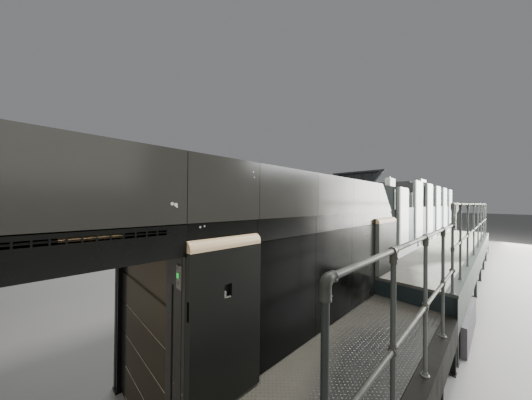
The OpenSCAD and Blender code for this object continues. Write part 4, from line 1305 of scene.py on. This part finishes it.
# %% Control strip
KEY_PITCH = 46 * MM
STRIP_LIP = 6 * MM
LAMP_HALF_WIDTH = 14 * MM
LAMP_HALF_HEIGHT = 19 * MM
LAMP_INSET = 2 * MM
LAMP_PROUD = 9 * MM
KEY_PROFILE = mm((0, 11), (3.2, 11), (4, 10), (4, 8.4), (1, 8.4))
strip_low, strip_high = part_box("control_strip")
lamp_low, lamp_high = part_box("control_lamp")
lamp_middle = (lamp_low + lamp_high) / 2
face_x = strip_high.x - STRIP_LIP
lamp_width, lamp_height = 2 * LAMP_HALF_WIDTH, 2 * LAMP_HALF_HEIGHT
bezels = Batch()
ring_frame(bezels, (face_x, strip_low.y, strip_low.z), (0, strip_high.y - strip_low.y, 0),
           (0, 0, strip_high.z - strip_low.z), BACK, 3 * MM, 1.5 * MM)
for lift in (-KEY_PITCH, KEY_PITCH):
    turned(bezels, (face_x, lamp_middle.y, lamp_middle.z + lift), BACK, KEY_PROFILE, sides=28)
lamp_corner = Vector((face_x, lamp_middle.y - LAMP_HALF_WIDTH, lamp_middle.z - LAMP_HALF_HEIGHT))
ring_frame(bezels, lamp_corner, (0, lamp_width, 0), (0, 0, lamp_height), BACK, 2.5 * MM, 4 * MM)
bezels.build("control_bezels", trim_light, slot="control", smooth=True)
dome = Batch()
soft_box(dome, lamp_corner + Vector((-LAMP_PROUD, LAMP_INSET, LAMP_INSET)),
         lamp_corner + Vector((0, lamp_width - LAMP_INSET, lamp_height - LAMP_INSET)), 3.5 * MM)
dome.build("lamp_dome", lens, slot="lamp")

# %% [markdown]
# Screws and bolts are small, but they give the eye a scale. Each row of them is worked out from the
# piece that it holds: here the roof seams, the flanges of the exhaust collars and the jambs.

# %% Screws on the housing
ROOF_SEAMS = (1995, 2814, 3633, 4473)
ROOF_SCREW_PITCH = 0.25
COLLAR_STATIONS = (1430, 1815)
COLLAR_Y = 0.17
COLLAR_BOLT_CIRCLE = 102 * MM
COLLAR_FLANGE_TOP = 6 * MM
COLLAR_BOLTS = 8
JAMB_STATION = 1400
HEAD_R = 6 * MM
HEAD_HEIGHT = 2.5 * MM
machine_screws = Batch()
for seam in ROOF_SEAMS:
    row = [(station(seam), y * ROOF_SCREW_PITCH, highest("roof_panel").z) for y in range(-3, 4)]
    studs(machine_screws, row, UP, HEAD_R, HEAD_HEIGHT)
for collar in COLLAR_STATIONS:
    for k in range(COLLAR_BOLTS):
        angle = 2 * math.pi * (k + 0.5) / COLLAR_BOLTS
        hold = (station(collar) + COLLAR_BOLT_CIRCLE * math.cos(angle),
                COLLAR_Y + COLLAR_BOLT_CIRCLE * math.sin(angle), roof_z + COLLAR_FLANGE_TOP)
        bolt_head(machine_screws, hold, UP, 6, 5, sink=0.5)
jamb_face = [(station(JAMB_STATION), y, z) for y in (-0.76, -0.64) for z in (0.06, 0.2, 0.82)]
studs(machine_screws, jamb_face, BACK, HEAD_R, HEAD_HEIGHT)
jamb_foot = [(lowest("pile_jambs").x + 10 * MM, y, 20 * MM) for y in (0.67, 0.76)]
studs(machine_screws, jamb_foot, UP, 4.5 * MM, 3 * MM)
machine_screws.build("machine_screws", screw_steel, smooth=True)

# %% [markdown]
# The edge channel of the gallery comes in lengths. Low screws sit at both sides of every joint, in two
# rows across its top. The joints of the high channel divide it evenly, so these are worked out.

# %% Screws on the gallery
LOW_JOINTS = (2158, 3750)
HIGH_CHANNEL = (4412, 13198)
CHANNEL_LENGTHS = 6
CHANNEL_OUTER_Y = 1.762
JOINT_SHIFTS = (-30, 33)
SCREW_ROWS = (0.025, 0.105)
high_start, high_end = HIGH_CHANNEL
high_joints = [high_start + k * (high_end - high_start) / CHANNEL_LENGTHS for k in range(1, CHANNEL_LENGTHS)]
gallery_screws = Batch()
for node, side, joints in (("low_fascia_near", -1, LOW_JOINTS), ("high_fascia_near", -1, high_joints),
                           ("high_fascia_far", 1, high_joints)):
    rows = [(station(joint + shift), side * (CHANNEL_OUTER_Y - reach), highest(node).z)
            for joint in joints for shift in JOINT_SHIFTS for reach in SCREW_ROWS]
    studs(gallery_screws, rows, UP, 5 * MM, 1.2 * MM)
gallery_screws.build("gallery_screws", screw_steel, slot="edge_channel", smooth=True)

# %% [markdown]
# The gallery stands on square legs. A leg that simply meets the floor looks as if it floats, so each
# gets a foot plate with two anchor bolts, turned to the side where there is room.

# %% Foot plates
LEG = 50
LEG_PLATE = 110
PLATE_THICKNESS = 9 * MM
PLATE_SHIFT = 22 * MM
BOLT_REACH = 40 * MM
OUTER_LEGS, INNER_LEGS = 1729, 829
LOW_LEGS = (1420, 2400, 3400, 4232)
HIGH_LEGS = range(4472, 13148, 1500)
leg_feet, anchor_bolts = Batch(), Batch()
reach = LEG_PLATE / 2 * MM
for side, legs in ((-1, LOW_LEGS), (-1, HIGH_LEGS), (1, HIGH_LEGS)):
    for leg in legs:
        for line, inward in ((OUTER_LEGS, -side), (INNER_LEGS, side)):
            x, y = station(leg + LEG / 2), side * line * MM + inward * PLATE_SHIFT
            soft_box(leg_feet, (x - reach, y - reach, 0), (x + reach, y + reach, PLATE_THICKNESS), 1.5 * MM)
            for across in (-1, 1):
                bolt_head(anchor_bolts, (x + across * BOLT_REACH, y, PLATE_THICKNESS), UP, 8, 7, sink=1)
leg_feet.build("gallery_foot_plates", bed_grey, slot="edge_channel")
anchor_bolts.build("gallery_anchor_bolts", screw_steel, slot="edge_channel", smooth=True)

# %% [markdown]
# Between two towers sits a dark window in a rubber gasket. The gaps repeat with the pitch of the
# printing units, so a loop finds them on both sides. A narrow profile runs up the side cover of every
# tower, near its edge, and gives the white faces a line to end on. Its grey-green also stands in for the
# shade along the cover's edge, as painted shade.

# %% Gaskets and tower profiles
UNIT_PITCH = 1260
TOWER_LENGTH = 740
FIRST_UNIT = 7218
WINDOW_Y = 0.602
WINDOW_SHORT = 4 * MM
WINDOW_LOW = 3 * MM
GASKET_BAND = 14 * MM
GASKET_DEPTH = 7 * MM
window_low, window_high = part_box("guard_windows")
gaskets = Batch()
for k in range(INK_TOWERS - 1):
    start = station(FIRST_UNIT + k * UNIT_PITCH + TOWER_LENGTH) + WINDOW_SHORT
    end = station(FIRST_UNIT + (k + 1) * UNIT_PITCH) - WINDOW_SHORT
    tall = window_high.z - window_low.z - 2 * WINDOW_LOW
    for side in (-1, 1):
        ring_frame(gaskets, (start, side * WINDOW_Y, window_low.z + WINDOW_LOW), (end - start, 0, 0),
                   (0, 0, tall), (0, side, 0), GASKET_BAND, GASKET_DEPTH)
gaskets.build("window_gaskets", rubber, slot="window")

TOWER_FACE_Y = 0.68
PROFILE_START = 28 * MM
PROFILE_WIDTH = 34 * MM
PROFILE_PROUD = 3 * MM
PROFILE_SHORT = 6 * MM
tower_tops = {name: highest(name).z for name in TOWERS}
tower_tops["ink_tower_1"] = tower_tops["ink_tower_2"]
# Grey-green profiles, partly painted shade along the covers' edges.
profiles = Batch()
for name in TOWERS:
    foot = lowest(name)
    start = foot.x + PROFILE_START
    for side in (-1, 1):
        side_box(profiles, side, (start, start + PROFILE_WIDTH),
                 (TOWER_FACE_Y - 1 * MM, TOWER_FACE_Y + PROFILE_PROUD),
                 (foot.z + PROFILE_SHORT, tower_tops[name] - PROFILE_SHORT), 1.5 * MM)
profiles.build("tower_edge_profiles", profile_green, slot="tower_white")

# %% [markdown]
# Two louvred vents sit in the skirt below each ink tower: a frame, a thin back plate and six blades.
# Real blades cost little here, and from above they hide the plate behind them as they should.

# %% Skirt vents
VENT_WIDTH = 150 * MM
VENT_HEIGHT = 110 * MM
VENT_LIFT = 50 * MM
VENT_BLADES = 6
VENT_SHARES = (0.27, 0.75)
BACK_INSET = 8 * MM
BLADE_INSET = 9 * MM
SKIRT_Y = 0.67
vents, blades = Batch(), Batch()
for k in range(INK_TOWERS):
    for share in VENT_SHARES:
        x = station(FIRST_UNIT + k * UNIT_PITCH + share * TOWER_LENGTH)
        z = high_deck_z + VENT_LIFT
        for side in (-1, 1):
            ring_frame(vents, (x, side * SKIRT_Y, z), (VENT_WIDTH, 0, 0), (0, 0, VENT_HEIGHT), (0, side, 0),
                       10 * MM, 5 * MM)
            side_box(vents, side, (x + BACK_INSET, x + VENT_WIDTH - BACK_INSET),
                     (SKIRT_Y - 1 * MM, SKIRT_Y + 1 * MM),
                     (z + BACK_INSET, z + VENT_HEIGHT - BACK_INSET), 0.5 * MM)
            for blade in range(VENT_BLADES):
                level = z + (0.16 + blade * 0.135) * VENT_HEIGHT
                side_box(blades, side, (x + BLADE_INSET, x + VENT_WIDTH - BLADE_INSET),
                         (SKIRT_Y, SKIRT_Y + 4.5 * MM), (level, level + 4 * MM), 1 * MM)
vents.build("skirt_vents", pressed_dark, slot="machine_grey")
blades.build("vent_blades", pressed_dark, slot="machine_grey")

# %% [markdown]
# Upright rods stand at the first two gaps of the line, each in two short clamps on its wall. The white
# cabinets on the guard have two lugs, and as these are small, a prism with sloping sides is enough.

# %% Guard rods and cabinet lugs
RODS = ((5850, 0.61, 2.28), (7150, 0.602, 2.26))
ROD_R = 9 * MM
ROD_OFF = 16 * MM
ROD_FOOT = 1.87
CLAMP_LOW = 1.93
CLAMP_BELOW_TOP = 0.05
rods = Batch()
for rod_station, wall_y, rod_top in RODS:
    for side in (-1, 1):
        x, y = station(rod_station), side * (wall_y + ROD_OFF)
        sweep(rods, [(x, y, ROD_FOOT), (x, y, rod_top)], ROD_R, sides=16)
        for z in (CLAMP_LOW, rod_top - CLAMP_BELOW_TOP):
            turned(rods, (x, y, z - 12 * MM), UP, mm((0, 13), (24, 13)), sides=16)
            side_box(rods, side, (x - 7 * MM, x + 7 * MM), (wall_y - 1 * MM, wall_y + ROD_OFF),
                     (z - 9 * MM, z + 9 * MM), 2 * MM)
rods.build("guard_rods", cabinet_white, slot="tower_white", smooth=True)

LUG_OUTLINE = mm((-35, 0), (35, 0), (10, 42), (-10, 42))
LUG_HALF_THICKNESS = 4 * MM
LUG_Y = 480 * MM
cabinet_low, cabinet_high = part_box("roof_cabinets")
lugs = Batch()
for side in (-1, 1):
    root = Vector(((cabinet_low.x + cabinet_high.x) / 2, side * LUG_Y, cabinet_high.z - 1 * MM))
    points = [root + Vector((a, b * LUG_HALF_THICKNESS, c)) for b in (-1, 1) for a, c in LUG_OUTLINE]
    lugs.add(points, [(0, 1, 2, 3), (7, 6, 5, 4), (0, 4, 5, 1), (1, 5, 6, 2), (2, 6, 7, 3), (3, 7, 4, 0)])
lugs.build("cabinet_lugs", cabinet_white, slot="feeder_light")

# %% [markdown]
# At the feeder the suckers that lift the sheets get soft rubber lips, turned with two bellows folds.
# The tie bars come through the side frames with a washer and a cap nut at each end.

# %% Feeder fittings
SUCKER_STATIONS = (14238, 14798)
SUCKER_PITCH = 220 * MM
SUCKER_TOP = 1.714
SUCKER_PROFILE = mm((0, 17.5), (10, 17.5), (12, 22), (16, 18), (20, 24), (30, 27), (31, 25), (22, 12))
FRAME_FACE_Y = 0.69
TIE_BARS = ((14068, 300), (14068, 1000), (14338, 1920), (15558, 1890))
WASHER = mm((-1, 40), (5, 40), (6, 38))
CAP_NUT = mm((5, 23), (20, 23), (23, 19))
suckers = Batch()
for sucker in SUCKER_STATIONS:
    for i in (-1.5, -0.5, 0.5, 1.5):
        turned(suckers, (station(sucker), i * SUCKER_PITCH, SUCKER_TOP), DOWN, SUCKER_PROFILE, sides=24)
suckers.build("feeder_suckers", rubber, slot="machine_grey", smooth=True)
cap_nuts = Batch()
for tie_station, level in TIE_BARS:
    for side in (-1, 1):
        hub = (station(tie_station), side * FRAME_FACE_Y, level * MM)
        turned(cap_nuts, hub, (0, side, 0), WASHER, sides=32)
        turned(cap_nuts, hub, (0, side, 0), CAP_NUT, sides=6)
cap_nuts.build("feeder_cap_nuts", screw_steel, slot="machine_grey")

# %% [markdown]
# The press stands on a plain pale floor, one large square. It lies a millimetre low, which keeps it
# from flickering through the feet.

# %% Floor
FLOOR_HALF = 60


def studio_floor():
    finish = Finish("studio_floor", Roughness=0.6)
    clouds = finish.noise(0.6, detail=4)
    finish.feed("Base Color", finish.blend(clouds, (0.35, 0.345, 0.33), (0.4, 0.395, 0.38)))
    corners = [(FLOOR_HALF * a, FLOOR_HALF * b, 0) for a, b in ((-1, -1), (1, -1), (1, 1), (-1, 1))]
    mesh = bpy.data.meshes.new("floor")
    mesh.from_pydata(corners, [], [(0, 1, 2, 3)])
    mesh.materials.append(finish.material)
    floor = add_object("floor", mesh)
    floor.location.z = -1 * MM


studio_floor()
print("floor", 2 * FLOOR_HALF, "m wide")

# %% [markdown]
# The light is that of a soft studio: large area lights and a grey sky. The long light far down the
# feeder side stands low, so that it glances along the painted sides, and the panels grow pale towards
# the far end, which gives the press its depth. The others fill the gallery, the delivery end, the far
# side and the bay of the pile. A table of them is easy to balance, as each has one line.

# %% Lights
SKY_COLOUR = (0.66, 0.68, 0.7, 1)
SKY_STRENGTH = 0.38
WARM = (1, 0.985, 0.93)
WARMER = (1, 0.98, 0.93)
LIGHTS = [(f"ceiling_{k}", (x, -1.5, 6), (x, -1.0, 0), (3.0, 1.2), 170, WARMER)
          for k, x in enumerate((-6, -2, 2, 6))]
LIGHTS += [
    # name, place, aim, size, watts, colour
    ("window_wall", (10, -4.8, 2.3), (-4, -2.6, 1.6), (5.4, 4.4), 1150, WARM),
    ("gallery_daylight", (3.0, -6.5, 5.0), (1.8, -0.9, 1.2), (6, 3), 1000, (0.96, 0.99, 1)),
    ("window_edge", (4.9, -6.0, 2.2), (-4.9, -0.8, 1.9), (1.7, 4.0), 155, WARM),
    ("tower_light", (3.6, -3.3, 4.3), (3.0, -0.7, 1.75), (9, 0.8), 300, (0.97, 0.99, 1)),
    ("front_fill", (-8.0, -7, 3.8), (-5.5, -0.8, 1.5), (8, 3), 105, (1, 0.98, 0.94)),
    ("end_fill", (-14, -2.6, 2.4), (-4, -0.8, 1.2), (6, 4), 170, WARMER),
    ("far_side_fill", (1, 8.5, 5), (0.5, 0.8, 1.1), (16, 4), 650, (0.98, 0.99, 1)),
    ("pile_bay", (station(160), 0, 1.35), (station(1400), -0.1, 1.2), (1.0, 1.2), 2.5, (1, 0.95, 0.85)),
]


def area_light(name, place, aim, size, watts, colour):
    light = bpy.data.lights.new(name, "AREA")
    light.shape = "RECTANGLE"
    light.size, light.size_y = size
    light.energy = watts
    light.color = colour
    holder = add_object(name, light)
    holder.location = place
    holder.rotation_euler = (Vector(aim) - Vector(place)).to_track_quat("-Z", "Y").to_euler()


for row in LIGHTS:
    area_light(*row)
world = bpy.data.worlds.new("world")
world.use_nodes = True
sky = world.node_tree.nodes["Background"]
sky.inputs["Color"].default_value = SKY_COLOUR
sky.inputs["Strength"].default_value = SKY_STRENGTH
bpy.context.scene.world = world
print("lights:", len(bpy.data.lights))

# %% [markdown]
